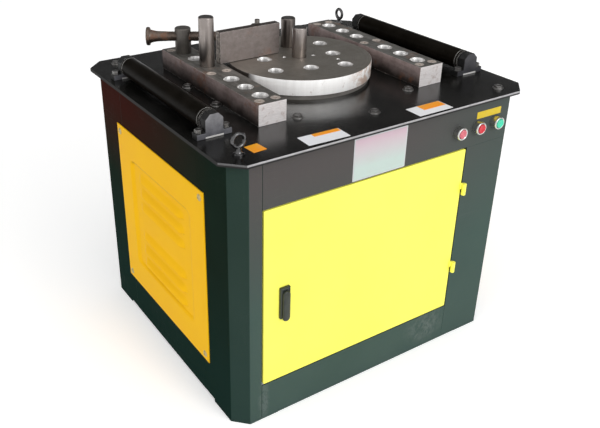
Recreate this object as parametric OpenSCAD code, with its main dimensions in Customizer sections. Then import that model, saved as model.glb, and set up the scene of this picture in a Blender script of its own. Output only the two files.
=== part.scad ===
// Floor-standing steel bar bending machine.
// A sheet steel cabinet carries a working table. A turning disc with tool pins bends the bar
// against a stop plate, two hole bars take spare pins, and two rollers carry the bar in and out.
// Inside, a motor turns a worm gearbox through belts, and the worm wheel turns the disc.
// X runs to the right seen from the door, Y runs to the back, Z is up and the floor is z = 0.

/* [Table] */
// Width of the table plate
table_w = 830; // [800:5:880]
// Depth of the table plate
table_d = 728; // [712:4:780]
// Thickness of the table plate
table_t = 8; // [6:1:12]
// Height of the working surface above the floor
table_h = 672; // [660:2:720]
// Corner cut of the table plate
table_chamfer = 41; // [25:1:55]

/* [Cabinet] */
// How far the table stands over the cabinet at each side
over_side = 21; // [16:1:30]
// How far the table stands over the cabinet at front and back
over_front = 15; // [10:1:24]
// Thickness of the cabinet sheet
sheet_t = 3; // [2:0.5:4]
// Corner cut of the cabinet
cab_chamfer = 33; // [20:1:45]
// Thickness of the corner feet
foot_t = 7; // [5:1:12]
// Length of a corner foot along each side
foot_l = 110; // [80:5:140]
// Distance of the back panel's edges from the cabinet's sides
back_in = 94; // [70:2:130]
// Side of the square base beams
beam_s = 40; // [30:2:50]

/* [Door] */
// Distance of the door's free edge from the cabinet's left side
door_left_in = 67; // [60:1:80]
// Distance of the door's hinged edge from the cabinet's right side
door_right_in = 161; // [150:1:180]
// Height of the door's lower edge
door_z = 104; // [90:2:110]
// Distance of the door's upper edge below the table plate
door_drop = 112; // [100:2:130]
// Gap round the door
door_gap = 3; // [2:0.5:4]
// Thickness of the door sheet
door_t = 2; // [1.5:0.5:3]
// Depth of the door's folded edge
door_fold = 14; // [10:1:18]
// Depth of the folded lip round the door opening
lip_d = 12; // [8:1:14]
// Radius of a hinge knuckle
hinge_r = 6; // [5:0.5:8]
// Length of one half of a hinge
hinge_l = 18; // [14:1:24]
// Height of the upper hinge
hinge_top_z = 448; // [420:2:480]
// Height of the lower hinge
hinge_low_z = 226; // [180:2:260]

/* [Latch] */
// Width of the latch base
latch_w = 28; // [24:1:34]
// Height of the latch base
latch_h = 84; // [70:2:100]
// Thickness of the latch base
latch_t = 8; // [6:1:10]
// Width of the latch lever
lever_w = 20; // [16:1:24]
// Length of the lever from its pivot to its round end
lever_l = 66; // [56:1:72]
// Thickness of the latch lever
lever_t = 6; // [5:1:8]
// Height of the lever's pivot
latch_z = 338; // [300:2:380]
// Distance of the pivot from the door's free edge
latch_in = 52; // [44:1:60]
// Length of the locking cam
cam_l = 72; // [66:1:78]

/* [Side covers] */
// Distance of a side cover's edges from the cabinet's front and back
cover_in = 126; // [110:2:150]
// Height of the cover's lower edge
cover_z = 106; // [96:2:116]
// Distance of the cover's upper edge below the table plate
cover_drop = 108; // [96:2:120]
// Thickness of the cover sheet
cover_t = 2.5; // [1.5:0.5:4]
// Overlap of the cover on the cabinet frame
cover_lap = 26; // [22:1:32]
// Distance of the pressed field from the cover's upright edges
field_in_y = 68; // [60:1:76]
// Distance of the pressed field from the cover's level edges
field_in_z = 75; // [66:1:80]
// Depth of the pressed field
field_d = 4; // [2:0.5:6]
// Corner radius of the pressed field
field_r = 16; // [8:1:24]
// Distance of a louvre's ends from the edge of the field
louvre_in = 43; // [30:1:60]
// Height of a louvre
louvre_h = 20; // [14:1:24]
// Depth of a louvre
louvre_d = 7; // [5:0.5:9]
// Distance between the two groups of louvres, middle to middle of the nearest pair
louvre_band = 84; // [70:2:90]
// Distance of the outermost louvres' middle from the edge of the field
louvre_edge = 30; // [24:1:34]

/* [Controls] */
// Radius of a button collar
collar_r = 16.5; // [15:0.5:19]
// Length of a button collar in front of the panel
collar_l = 18; // [14:1:22]
// Radius of a button cap
cap_r = 10.5; // [9:0.5:12]
// Travel of a push button
button_travel = 4; // [2:0.5:5]
// Distance between the buttons
button_pitch = 60; // [50:1:64]
// Distance of the start button from the right end of the top rail
start_in = 43; // [36:1:52]
// Distance of the row of buttons below the table plate
button_drop = 61; // [54:1:66]

/* [Working disc] */
// Radius of the disc
disc_r = 175; // [165:1:180]
// Thickness of the disc
disc_t = 37; // [30:1:40]
// Height of the disc's top above the table
disc_rise = 47.5; // [46:0.5:48]
// Radius of every tool pin hole
hole_r = 18; // [15:0.5:19]
// Radial play of a pin in its hole
pin_play = 0.1; // [0.05:0.05:0.3]
// Radius of the inner ring of holes
inner_ring = 88; // [80:1:92]
// Radius of the outer ring of holes
outer_ring = 122; // [118:1:132]
// Angle of the bending pin at rest
rest_angle = 74; // [70:1:80]
// Thickness of the shaft's flange under the disc
flange_t = 8; // [6:0.5:9]
// Height of the centre pin and the bending pin above the table
pin_rise = 120; // [100:2:140]
// Height of the stop pin above the table
stop_pin_rise = 164; // [150:2:180]
// Middle of the working kit behind the middle of the table
kit_y = 4; // [0:1:10]

/* [Hole bars] */
// Width of a bar
bar_w = 70; // [64:1:74]
// Height of a bar
bar_h = 48.5; // [48.5:0.5:56]
// Length of a bar
bar_l = 450; // [440:2:480]
// Distance between the two bars, middle to middle
bar_span = 447; // [442:1:456]
// Distance between the holes of a group
hole_pitch = 60; // [54:1:62]
// Distance of the first hole of a group from the bar's middle
hole_first = 56; // [52:1:60]
// Radius of the screws that hold the bars
screw_r = 6; // [5:0.5:7]
// Distance between the two screws of a pair
screw_pitch = 40; // [34:1:44]
// Distance of the end screws from the bar's middle
screw_end = 204; // [200:1:210]

/* [Stop plate] */
// Length of the stop plate
plate_l = 166; // [140:2:176]
// Height of the stop plate
plate_h = 75; // [66:1:84]
// Thickness of the stop plate
plate_t = 20; // [16:1:24]
// Distance of the plate's working face behind the disc's middle
plate_y = 46; // [40:1:50]
// Distance of the plate's free end to the left of the disc's middle
plate_end = 27; // [20:1:34]
// Radius of the swivel block behind the plate
swivel_r = 15; // [13:1:18]
// Height of the swivel block
swivel_h = 34; // [30:1:40]
// Distance of the swivel block to the left of the disc's middle
swivel_x = 70; // [60:1:90]
// Radius of the adjusting screw
adjust_r = 12; // [10:0.5:13]
// Radius of the adjusting screw's head
head_r = 22; // [18:1:26]
// Distance of the head from the post
head_out = 84; // [72:1:90]
// Height of the adjusting screw above the bar
adjust_rise = 39.5; // [38:0.5:42]
// Height of the post above the bar
post_rise = 61.5; // [58:0.5:70]
// Radius of the post above the bar
post_r = 19.5; // [19:0.5:22]
// Travel of the stop plate each way along the screw
stop_travel = 9; // [4:1:9]

/* [Rollers] */
// Radius of a roller
roller_r = 24; // [20:0.5:26]
// Height of a roller's axis above the table
roller_rise = 29; // [28:0.5:34]
// Distance of a roller's axis from the table's edge
roller_in = 55; // [50:1:64]
// Length over both brackets of a roller
roller_span = 440; // [400:2:460]
// Radius of a roller's shaft
shaft_r = 10; // [8:0.5:12]
// Radial play of a shaft in its bore
shaft_play = 0.06; // [0.03:0.01:0.1]
// Width of a bracket's bearing block
block_w = 42; // [36:1:44]
// Height of a bracket's bearing block above the roller's axis
block_rise = 22; // [18:1:24]
// Corner cut of a bracket's bearing block
block_cut = 11; // [6:1:13]
// Depth of a bracket
block_d = 22; // [18:1:28]
// Length of a bracket's base over its ears
ear_w = 82; // [78:1:90]
// Thickness of a bracket's ears
ear_t = 13; // [9:1:15]
// Wall of a bracket outside the end of its shaft
bracket_wall = 5; // [3:0.5:8]

/* [Fasteners] */
// Radius of the table bolts
bolt_r = 6; // [5:0.5:7]
// Height of a bolt head
bolt_head_h = 7; // [5:0.5:9]
// Play round a bolt in its hole
bolt_play = 0.3; // [0.2:0.1:0.6]
// Mean radius of an eye bolt's ring
eye_r = 13.5; // [12:0.5:16]
// Radius of the ring's wire
eye_wire = 4; // [3:0.5:5]
// Height of the ring's middle above the table
eye_rise = 30.5; // [28:0.5:36]
// Distance of an eye bolt from the cabinet's side
eye_in_x = 31; // [26:1:40]
// Distance of an eye bolt from the cabinet's front or back
eye_in_y = 35; // [30:1:44]
// Distance of a corner bolt from the cabinet's side
corner_in_x = 49; // [44:1:60]
// Distance of a corner bolt from the cabinet's front or back
corner_in_y = 27; // [24:1:36]
// Distance of the front and back bolts from the cabinet's front and back
rail_bolt_in = 64; // [50:1:70]
// Distance of the gearbox bolts from the edges of the gearbox cover
gear_bolt_in = 28; // [22:1:34]
// Distance of the bolts beside the bars from the middle of the kit
side_bolt_y = 68; // [60:1:76]
// Space between a bar and the bolts beside it
side_bolt_gap = 2.5; // [1.5:0.5:4]

/* [Gearbox] */
// Number of teeth of the worm wheel
teeth = 48; // [40:2:60]
// Pitch radius of the worm wheel
wheel_r = 120; // [110:1:124]
// Face width of the worm wheel
wheel_w = 30; // [24:1:36]
// Pitch radius of the worm
worm_r = 30; // [27:1:32]
// Height of a tooth above and below the pitch line
tooth_a = 4.5; // [3.5:0.5:5]
// Gap between the worm and the wheel
mesh_gap = 1.2; // [0.8:0.1:2.4]
// Length of the worm
worm_l = 96; // [90:1:110]
// Depth of the worm's axis below the table surface
worm_drop = 142; // [138:1:150]
// Wall of the gearbox
box_t = 14; // [12:1:18]
// Space between the wheel and the gearbox wall
box_gap = 11; // [8:1:16]
// Thickness of the gearbox cover
cover_plate_t = 14; // [12:1:18]
// Distance of the gearbox cover's sides outside the housing
flange_w = 36; // [34:1:44]
// Half of the gearbox cover's length
mount_y = 250; // [240:2:254]
// Radius of the main shaft
main_r = 35; // [30:1:38]
// Radius of the worm shaft
worm_shaft_r = 17.5; // [15:0.5:19]

/* [Drive] */
// Pitch radius of the motor pulley
small_r = 37.5; // [34:0.5:40]
// Belt reduction
belt_ratio = 3; // [2.6:0.1:3]
// Width of a belt
belt_w = 13; // [10:1:15]
// Thickness of a belt
belt_h = 8; // [6:1:9]
// Gap between a belt and its pulley
belt_gap = 0.6; // [0.4:0.1:1]
// Distance of the pulleys outside the gearbox
pulley_out = 75; // [60:1:90]
// Middle of the motor in front of the middle of the cabinet
motor_y = 40; // [30:2:70]
// Height of the motor's axis above its rails
motor_axis = 100; // [98:1:112]
// Radius of the motor's body
motor_r = 88; // [80:1:90]
// Length of the motor's body
motor_l = 230; // [200:5:250]

/* [Hidden] */

$fn = 64;
over = 1;
touch = 0.3;
press = 0.02;

// Cabinet planes
cab_x = table_w / 2 - over_side;
cab_y = table_d / 2 - over_front;
cab_z0 = foot_t;
cab_z1 = table_h - table_t;
inner_chamfer = cab_chamfer - sheet_t * (2 - sqrt(2));
front_flat = cab_x - cab_chamfer;
back_x = cab_x - back_in;
front_in = -cab_y + sheet_t;

// Door and its opening
door_x0 = -cab_x + door_left_in;
door_x1 = cab_x - door_right_in;
door_z1 = cab_z1 - door_drop;
open_x0 = door_x0 - door_gap;
open_x1 = door_x1 + door_gap;
open_z0 = door_z - door_gap;
open_z1 = door_z1 + door_gap;
door_proud = 1;
hinge_in = 0.5;
hinge_stand = 1;
hinge_cap = 3;
pin_short = 1;
door_front = -cab_y - door_proud;
hinge_x = door_x1 + door_gap + hinge_in;
hinge_y = door_front - hinge_r - hinge_stand;
hinge_pin_r = hinge_r / 2;
lug_w = 10;
latch_x = door_x0 + latch_in;
latch_front = door_front - latch_t;
latch_top = 16;
spindle_r = 6;
cam_gap = 1;
cam_y0 = front_in + lip_d + cam_gap;
cam_t = 4;
cam_w = 18;

// Side covers
cover_w = 2 * (cab_y - cover_in);
cover_h = cab_z1 - cover_drop - cover_z;
side_open_y = cover_w / 2 - cover_lap;
side_open_z0 = cover_z + cover_lap;
side_open_z1 = cover_z + cover_h - cover_lap;
field_w = cover_w - 2 * field_in_y;
field_h = cover_h - 2 * field_in_z;
field_z = cover_z + cover_h / 2;
cover_screw_in = 17;
cover_screw_r = 3;
cover_screw_head = 6.5;
cover_screw_h = 3;
louvre_count = 3;
louvre_l = field_w - 2 * louvre_in;
louvre_pitch = (field_h / 2 - louvre_band / 2 - louvre_edge) / (louvre_count - 1);

// Controls
cap_play = 0.4;
collar_floor = 6;
sleeve_r = 11;
sleeve_l = 26;
stem_r = 7.5;
cap_proud = 0.5;
cap_t = 7.5;
stem_gap = 2;
stem_end = sleeve_l - button_travel - stem_gap;
lens_h = 2;
lens_cut = 3;
start_x = front_flat - start_in;
button_z = cab_z1 - button_drop;
stop_x = start_x - button_pitch;
lamp_x = stop_x - button_pitch;
contact_w = 30;
contact_h = 44;
contact_d = 40;

// Working kit
bar_top = table_h + bar_h;
disc_top = table_h + disc_rise;
disc_low = disc_top - disc_t;
pin_r = hole_r - pin_play;
bar_x = bar_span / 2;
bend_x = inner_ring * cos(rest_angle);
bend_y = kit_y + inner_ring * sin(rest_angle);
pin_edge = 2;
bar_holes = [for (side = [-1, 1], i = [0:2]) side * (hole_first + i * hole_pitch)];
screw_rows = [-screw_end, 0, screw_end];
sink_w = 5;
sink_r = screw_r + sink_w;
sink_h = 5;
socket_share = 0.7;
ring_wall = 9;
ring_in = 4.5;
ring_gap = 1;
flange_edge = 2;
flange_r = outer_ring + hole_r + flange_edge;
shaft_gap = 5;
jack_r = 4.5;
jack_depth = 6;
jack_ring = 37;
jack_outer = 96;
jack_turn = -94;
jack_outer_turn = -119;

// Stop plate, its post and its screw
stop_pin_y = kit_y + hole_first;
post_y = kit_y + hole_first + 2 * hole_pitch;
plate_x1 = -plate_end;
plate_x0 = plate_x1 - plate_l;
plate_front = kit_y + plate_y;
plate_back = plate_front + plate_t;
plate_play = 0.2;
plate_z0 = bar_top + plate_play;
plate_z1 = plate_z0 + plate_h;
lug_reach = 14;
swivel_y = plate_back + lug_reach;
adjust_z = bar_top + adjust_rise;
adjust_run = norm([bar_x - swivel_x, post_y - swivel_y]);
adjust_yaw = atan2(swivel_y - post_y, bar_x - swivel_x);
journal_r = 8;
journal_in = 6;
neck_l = 2;
head_t = 9;
trunnion_r = 6;
lug_h = 12;
lug_play = 0.3;

// Rollers
roller_x = table_w / 2 - roller_in;
roller_y0 = kit_y - roller_span / 2;
roller_y1 = kit_y + roller_span / 2;
roller_z = table_h + roller_rise;
roller_end = 2;
bracket_bolt_r = 4;
bracket_head_r = 9;
bracket_head_h = 8;
ear_bolt = (ear_w + block_w) / 4;

// Table bolts: pairs beside the bars, the gearbox bolts, the front and back bolts, two corners
box_x = wheel_r + tooth_a + box_gap + box_t;
mount_x = box_x + flange_w;
head_share = 1.7;
bolt_head_r = bolt_r * head_share;
bolt_below = table_t + cover_plate_t;
side_bolt_x = bar_x + bar_w / 2 + bolt_head_r + side_bolt_gap;
bolt_places = [
    for (x = [-1, 1], y = [-1, 1]) [x * side_bolt_x, kit_y + y * side_bolt_y],
    for (x = [-1, 1], y = [-1, 1]) [x * (mount_x - gear_bolt_in), kit_y + y * (mount_y - gear_bolt_in)],
    for (side = [-1, 1]) [0, side * (cab_y - rail_bolt_in)],
    for (side = [-1, 1]) [side * (cab_x - corner_in_x), -side * (cab_y - corner_in_y)]
];
eye_turn = 45;
eye_places = [
    for (side = [-1, 1]) [side * (cab_x - eye_in_x), side * (cab_y - eye_in_y), eye_turn + side * eye_turn]
];
eye_collar_r = 12;
eye_collar_h = 4;
eye_neck_r = 6.5;

// Gearbox
lead = 2 * PI * wheel_r / teeth;
worm_y = kit_y + wheel_r + worm_r + mesh_gap;
worm_z = table_h - worm_drop;
wheel_z0 = worm_z - wheel_w / 2;
cover_plate_z = cab_z1 - cover_plate_t;
box_y0 = kit_y - box_x;
box_y1 = worm_y + worm_r + tooth_a + box_gap + box_t;
box_z0 = worm_z - worm_r - tooth_a - box_gap - box_t;
bearing_wall = 22;
worm_bearing_wall = 18;
bearing_r = main_r + bearing_wall;
worm_bearing_r = worm_shaft_r + worm_bearing_wall;
tooth_points = 6;
thread_sides = 16;
thread_steps = 10;

// Drive
big_r = small_r * belt_ratio;
pulley_x = -box_x - pulley_out;
pulley_w = 44;
belt_step = 20;
groove_w = belt_w + 2 * belt_gap;
rim_over = 1;
rim_h = belt_h / 2 + rim_over;
rail_z = cab_z0 + beam_s;
rail_h = 20;
rail_w = 40;
rail_l = 330;
motor_z = rail_z + rail_h + motor_axis;
motor_my = -motor_y;
motor_x0 = -100;
motor_x1 = motor_x0 + motor_l;
motor_bore = 62;
motor_shaft_r = 14;
air_gap = 1;
blade_gap = 14;
fan_hub_r = 22;
shield_t = 18;
shield_out = 4;
shield_r = motor_r + shield_out;
end_in = 14;
fan_l = 62;
fan_wall = 2;
slot_in = 30;
slot_l = 44;
slot_w = 7;
fin_count = 24;
fin_h = 9;
fin_t = 3.5;
rail_in = 45;
foot_drop = 30;
beam_out = 130;
pad_w = 90;
pad_h = 104;
control_w = 130;
control_in = 10;
control_x0 = back_x - control_in - control_w;
control_d = 100;
control_h = 260;
control_z = 300;
control_t = 2;
gland_in = 80;
gland_x = back_x - gland_in;
gland_z = 200;
gland_r = 11;
gland_nut_r = 15.4;
gland_bore = 5.5;
gland_l = 11;

// Shapes that repeat

module box(x0, x1, y0, y1, z0, z1) {
    translate([x0, y0, z0])
        cube([x1 - x0, y1 - y0, z1 - z0]);
}

module upright(x, y, z0, z1, r) {
    translate([x, y, z0])
        cylinder(h = z1 - z0, r = r);
}

module along_x(x0, x1, y, z, r) {
    translate([x0, y, z])
        rotate([0, 90, 0])
            cylinder(h = x1 - x0, r = r);
}

module along_y(x, y0, y1, z, r) {
    translate([x, y0, z])
        rotate([-90, 0, 0])
            cylinder(h = y1 - y0, r = r);
}

module hexagon(x, y, z0, z1, r) {
    translate([x, y, z0])
        cylinder(h = z1 - z0, r = r, $fn = 6);
}

// A rectangle with cut corners, about the origin
module cut_rectangle(half_x, half_y, cut) {
    polygon([
        [-half_x + cut, -half_y], [half_x - cut, -half_y],
        [half_x, -half_y + cut], [half_x, half_y - cut],
        [half_x - cut, half_y], [-half_x + cut, half_y],
        [-half_x, half_y - cut], [-half_x, -half_y + cut]
    ]);
}

// A rectangle with round corners, about the origin
module round_rectangle(w, h, r) {
    square([w - 2 * r, h], center = true);
    square([w, h - 2 * r], center = true);
    for (x = [-1, 1], y = [-1, 1])
        translate([x * (w / 2 - r), y * (h / 2 - r)])
            circle(r = r);
}

// A pin with a cone on its top edge
module tool_pin(x, y, z0, z1, r) {
    upright(x, y, z0, z1 - pin_edge, r);
    translate([x, y, z1 - pin_edge])
        cylinder(h = pin_edge, r1 = r, r2 = r - pin_edge);
}

// Cabinet

module cabinet_shell() {
    difference() {
        translate([0, 0, cab_z0])
            linear_extrude(cab_z1 - cab_z0)
                cut_rectangle(cab_x, cab_y, cab_chamfer);
        translate([0, 0, cab_z0 - over])
            linear_extrude(cab_z1 - cab_z0 + 2 * over)
                cut_rectangle(cab_x - sheet_t, cab_y - sheet_t, inner_chamfer);
    }
}

module corner_post(x0, x1, y0, y1) {
    intersection() {
        cabinet_shell();
        box(x0, x1, y0, y1, cab_z0, cab_z1);
    }
}

module door_lip(x0) {
    box(x0, x0 + sheet_t, -cab_y, front_in + lip_d, open_z0, open_z1);
}

module post_front_left() {
    color([0.22, 0.26, 0.25])
        union() {
            corner_post(-cab_x, open_x0, -cab_y, -side_open_y);
            door_lip(open_x0 - sheet_t);
        }
}

module post_front_right() {
    color([0.22, 0.26, 0.25])
        union() {
            difference() {
                corner_post(open_x1, cab_x, -cab_y, -side_open_y);
                box(open_x1 - over, front_flat, -cab_y - over, front_in + sheet_t,
                    open_z1, cab_z1 + over);
            }
            door_lip(open_x1);
        }
}

module back_posts() {
    color([0.2, 0.23, 0.22])
        for (side = [0, 1])
            mirror([side, 0, 0])
                corner_post(back_x, cab_x, side_open_y, cab_y);
}

module front_top_rail() {
    color([0.23, 0.27, 0.26])
        difference() {
            box(open_x0, front_flat, -cab_y, front_in, open_z1, cab_z1);
            for (x = [lamp_x, stop_x, start_x])
                along_y(x, -cab_y - over, front_in + over, button_z, sleeve_r + bolt_play);
        }
}

module front_bottom_rail() {
    color([0.23, 0.27, 0.26])
        box(open_x0, open_x1, -cab_y, front_in, cab_z0, open_z0);
}

module side_rails() {
    color([0.18, 0.22, 0.2])
        for (side = [0, 1], z = [[cab_z0, side_open_z0], [side_open_z1, cab_z1]])
            mirror([side, 0, 0])
                box(cab_x - sheet_t, cab_x, -side_open_y, side_open_y, z[0], z[1]);
}

module back_panel() {
    color([0.2, 0.23, 0.22])
        difference() {
            box(-back_x, back_x, cab_y - sheet_t, cab_y, cab_z0, cab_z1);
            along_y(gland_x, cab_y - sheet_t - over, cab_y + over, gland_z, gland_r + bolt_play);
        }
}

module base_beams() {
    color([0.18, 0.2, 0.2])
        for (side = [-1, 1])
            box(-cab_x + sheet_t, cab_x - sheet_t, motor_my + side * beam_out - beam_s / 2,
                motor_my + side * beam_out + beam_s / 2, cab_z0, rail_z);
}

module feet() {
    color([0.12, 0.13, 0.13])
        for (x = [-1, 1], y = [-1, 1])
            intersection() {
                linear_extrude(foot_t)
                    cut_rectangle(cab_x, cab_y, cab_chamfer);
                box(min(x * cab_x, x * (cab_x - foot_l)), max(x * cab_x, x * (cab_x - foot_l)),
                    min(y * cab_y, y * (cab_y - foot_l)), max(y * cab_y, y * (cab_y - foot_l)),
                    0, foot_t);
            }
}

// The side cover stands on the plane x = 0, with its outside towards -X
module louvred_cover() {
    difference() {
        box(-cover_t, 0, -cover_w / 2, cover_w / 2, cover_z, cover_z + cover_h);
        translate([-cover_t - over, 0, field_z])
            rotate([90, 0, 90])
                linear_extrude(cover_t + 2 * over)
                    round_rectangle(field_w, field_h, field_r);
        for (place = cover_screw_places())
            along_x(-cover_t - over, over, place[0], place[1], cover_screw_r + bolt_play);
    }
    difference() {
        translate([-cover_t, 0, field_z])
            rotate([90, 0, 90])
                linear_extrude(cover_t + field_d)
                    round_rectangle(field_w, field_h, field_r);
        translate([-cover_t - over, 0, field_z])
            rotate([90, 0, 90])
                linear_extrude(field_d + over)
                    round_rectangle(field_w - 2 * cover_t, field_h - 2 * cover_t,
                                    field_r - cover_t);
        for (z = louvre_places())
            box(-cover_t - over, field_d + over, -louvre_l / 2 + cover_t, louvre_l / 2 - cover_t,
                z, z + louvre_h - 2 * cover_t);
    }
    for (z = louvre_places())
        louvre(z);
}

// A pressed hood that opens downwards
module louvre(z) {
    face = field_d - cover_t;
    difference() {
        translate([0, louvre_l / 2, z])
            rotate([90, 0, 0])
                linear_extrude(louvre_l)
                    polygon([[face, 0], [face, louvre_h], [face - louvre_d, 0]]);
        translate([0, louvre_l / 2 - cover_t, z])
            rotate([90, 0, 0])
                linear_extrude(louvre_l - 2 * cover_t)
                    polygon([[face + over, -over], [face + over, louvre_h - 2 * cover_t],
                             [face, louvre_h - 2 * cover_t], [face - louvre_d + cover_t, -over]]);
    }
}

function louvre_places() = [
    for (group = [-1, 1], i = [0:louvre_count - 1])
        field_z - louvre_h / 2
            + group * (louvre_band / 2 + i * louvre_pitch)
];

function cover_screw_places() = [
    for (y = [-1, 1], z = [cover_z + cover_screw_in, cover_z + cover_h - cover_screw_in])
        [y * (cover_w / 2 - cover_screw_in), z]
];

module left_cover() {
    color([0.93, 0.72, 0.16])
        translate([-cab_x, 0, 0])
            louvred_cover();
}

module right_cover() {
    color([0.93, 0.72, 0.16])
        mirror([1, 0, 0])
            translate([-cab_x, 0, 0])
                louvred_cover();
}

module cover_screws() {
    color([0.75, 0.75, 0.72])
        for (side = [0, 1])
            mirror([side, 0, 0])
                translate([-cab_x - cover_t, 0, 0])
                    for (place = cover_screw_places()) {
                        along_x(-cover_screw_h, 0, place[0], place[1], cover_screw_head);
                        along_x(0, cover_t, place[0], place[1], cover_screw_r);
                    }
}

// Door, hinges and latch

module hinge_posts() {
    color([0.95, 0.85, 0.3])
        for (z = [hinge_low_z, hinge_top_z]) {
            upright(hinge_x, hinge_y, z - hinge_l, z - touch, hinge_r);
            upright(hinge_x, hinge_y, z - touch, z + hinge_l - hinge_cap - pin_short, hinge_pin_r);
            box(hinge_x, hinge_x + lug_w, hinge_y, -cab_y, z - hinge_l, z - touch);
        }
}

module door_hinges() {
    color([0.97, 0.93, 0.35])
        for (z = [hinge_low_z, hinge_top_z])
            difference() {
                union() {
                    upright(hinge_x, hinge_y, z, z + hinge_l, hinge_r);
                    box(hinge_x - lug_w - door_gap, hinge_x, hinge_y, door_front, z, z + hinge_l);
                }
                upright(hinge_x, hinge_y, z - over, z + hinge_l - hinge_cap, hinge_pin_r + shaft_play);
            }
}

module door() {
    color([0.99, 0.95, 0.36])
        difference() {
            box(door_x0, door_x1, door_front, door_front + door_fold, door_z, door_z1);
            box(door_x0 + door_t, door_x1 - door_t, door_front + door_t,
                door_front + door_fold + over, door_z + door_t, door_z1 - door_t);
            along_y(latch_x, door_front - over, door_front + door_t + over, latch_z,
                    spindle_r + touch);
        }
}

module latch_base() {
    color([0.08, 0.08, 0.08])
        difference() {
            box(latch_x - latch_w / 2, latch_x + latch_w / 2, latch_front, door_front,
                latch_z + latch_top - latch_h, latch_z + latch_top);
            along_y(latch_x, latch_front - over, door_front + over, latch_z, spindle_r + touch);
        }
}

module latch_lever() {
    color([0.12, 0.12, 0.12])
        union() {
            along_y(latch_x, latch_front - touch - lever_t, latch_front - touch, latch_z,
                    lever_w / 2);
            box(latch_x - lever_w / 2, latch_x + lever_w / 2, latch_front - touch - lever_t,
                latch_front - touch, latch_z - lever_l, latch_z);
            along_y(latch_x, latch_front - touch - lever_t, latch_front - touch,
                    latch_z - lever_l, lever_w / 2);
            along_y(latch_x, latch_front - touch, cam_y0, latch_z, spindle_r);
        }
}

module latch_cam() {
    color([0.6, 0.6, 0.58])
        union() {
            along_y(latch_x, cam_y0, cam_y0 + cam_t, latch_z, cam_w / 2);
            box(latch_x - cam_w / 2, latch_x + cam_w / 2, cam_y0, cam_y0 + cam_t,
                latch_z - cam_l, latch_z);
        }
}

// Controls, drawn outwards from the panel along -Y

module collar(x) {
    translate([x, -cab_y, button_z])
        rotate([90, 0, 0])
            difference() {
                union() {
                    cylinder(h = collar_l, r = collar_r);
                    translate([0, 0, -sleeve_l])
                        cylinder(h = sleeve_l, r = sleeve_r);
                }
                translate([0, 0, collar_floor])
                    cylinder(h = collar_l, r = cap_r + cap_play);
                translate([0, 0, -sleeve_l - over])
                    cylinder(h = sleeve_l + collar_l, r = stem_r + cap_play);
            }
}

module push_cap(x) {
    translate([x, -cab_y, button_z])
        rotate([90, 0, 0]) {
            translate([0, 0, collar_l + cap_proud - cap_t])
                cylinder(h = cap_t, r = cap_r);
            translate([0, 0, -stem_end])
                cylinder(h = stem_end + collar_l + cap_proud - cap_t, r = stem_r);
        }
}

module button_collars() {
    color([0.75, 0.76, 0.78])
        for (x = [lamp_x, stop_x, start_x])
            collar(x);
}

module stop_button() {
    color([0.85, 0.1, 0.13])
        push_cap(stop_x);
}

module start_button() {
    color([0.2, 0.8, 0.6])
        push_cap(start_x);
}

module lamp_lens() {
    color([0.85, 0.2, 0.25])
        translate([lamp_x, -cab_y, button_z])
            rotate([90, 0, 0]) {
                translate([0, 0, collar_floor])
                    cylinder(h = collar_l - collar_floor, r = cap_r);
                translate([0, 0, collar_l])
                    cylinder(h = lens_h, r1 = cap_r, r2 = cap_r - lens_cut);
            }
}

module contact_blocks() {
    color([0.3, 0.31, 0.33])
        for (x = [lamp_x, stop_x, start_x])
            box(x - contact_w / 2, x + contact_w / 2, -cab_y + sleeve_l,
                -cab_y + sleeve_l + contact_d, button_z - contact_h / 2, button_z + contact_h / 2);
}

// Table and what is bolted to it

module table_plate() {
    color([0.1, 0.1, 0.1])
        difference() {
            translate([0, 0, cab_z1])
                linear_extrude(table_t)
                    cut_rectangle(table_w / 2, table_d / 2, table_chamfer);
            upright(0, kit_y, cab_z1 - over, table_h + over, main_r + shaft_gap);
            for (place = bolt_places)
                upright(place[0], place[1], cab_z1 - over, table_h + over, bolt_r + bolt_play);
            for (place = eye_places)
                upright(place[0], place[1], cab_z1 - over, table_h + over, bolt_r + bolt_play);
            for (side = [-1, 1])
                bar_screw_shanks(side * bar_x, screw_r + bolt_play, cab_z1 - over);
        }
}

module bar_screw_shanks(x, r, z0) {
    for (dx = [-1, 1], y = screw_rows)
        upright(x + dx * screw_pitch / 2, kit_y + y, z0, bar_top + over, r);
}

module hole_bar(x) {
    difference() {
        box(x - bar_w / 2, x + bar_w / 2, kit_y - bar_l / 2, kit_y + bar_l / 2, table_h, bar_top);
        for (y = bar_holes)
            upright(x, kit_y + y, table_h - over, bar_top + over, hole_r);
        bar_screw_shanks(x, screw_r + bolt_play, table_h - over);
        for (dx = [-1, 1], y = screw_rows)
            translate([x + dx * screw_pitch / 2, kit_y + y, bar_top - sink_h])
                cylinder(h = sink_h, r1 = screw_r + bolt_play, r2 = sink_r + bolt_play);
    }
}

module bar_left() {
    color([0.45, 0.42, 0.4])
        hole_bar(-bar_x);
}

module bar_right() {
    color([0.45, 0.42, 0.4])
        hole_bar(bar_x);
}

module bar_screws() {
    color([0.62, 0.6, 0.56])
        for (side = [-1, 1], dx = [-1, 1], y = screw_rows)
            translate([side * bar_x + dx * screw_pitch / 2, kit_y + y, 0])
                difference() {
                    union() {
                        upright(0, 0, cab_z1 - bolt_r, bar_top - sink_h, screw_r);
                        translate([0, 0, bar_top - sink_h])
                            cylinder(h = sink_h, r1 = screw_r, r2 = sink_r);
                    }
                    hexagon(0, 0, bar_top - sink_h, bar_top + over, screw_r * socket_share);
                }
}

module table_bolts() {
    color([0.5, 0.5, 0.48])
        for (place = bolt_places) {
            hexagon(place[0], place[1], table_h, table_h + bolt_head_h, bolt_head_r);
            upright(place[0], place[1], table_h - bolt_below, table_h, bolt_r);
        }
}

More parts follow.
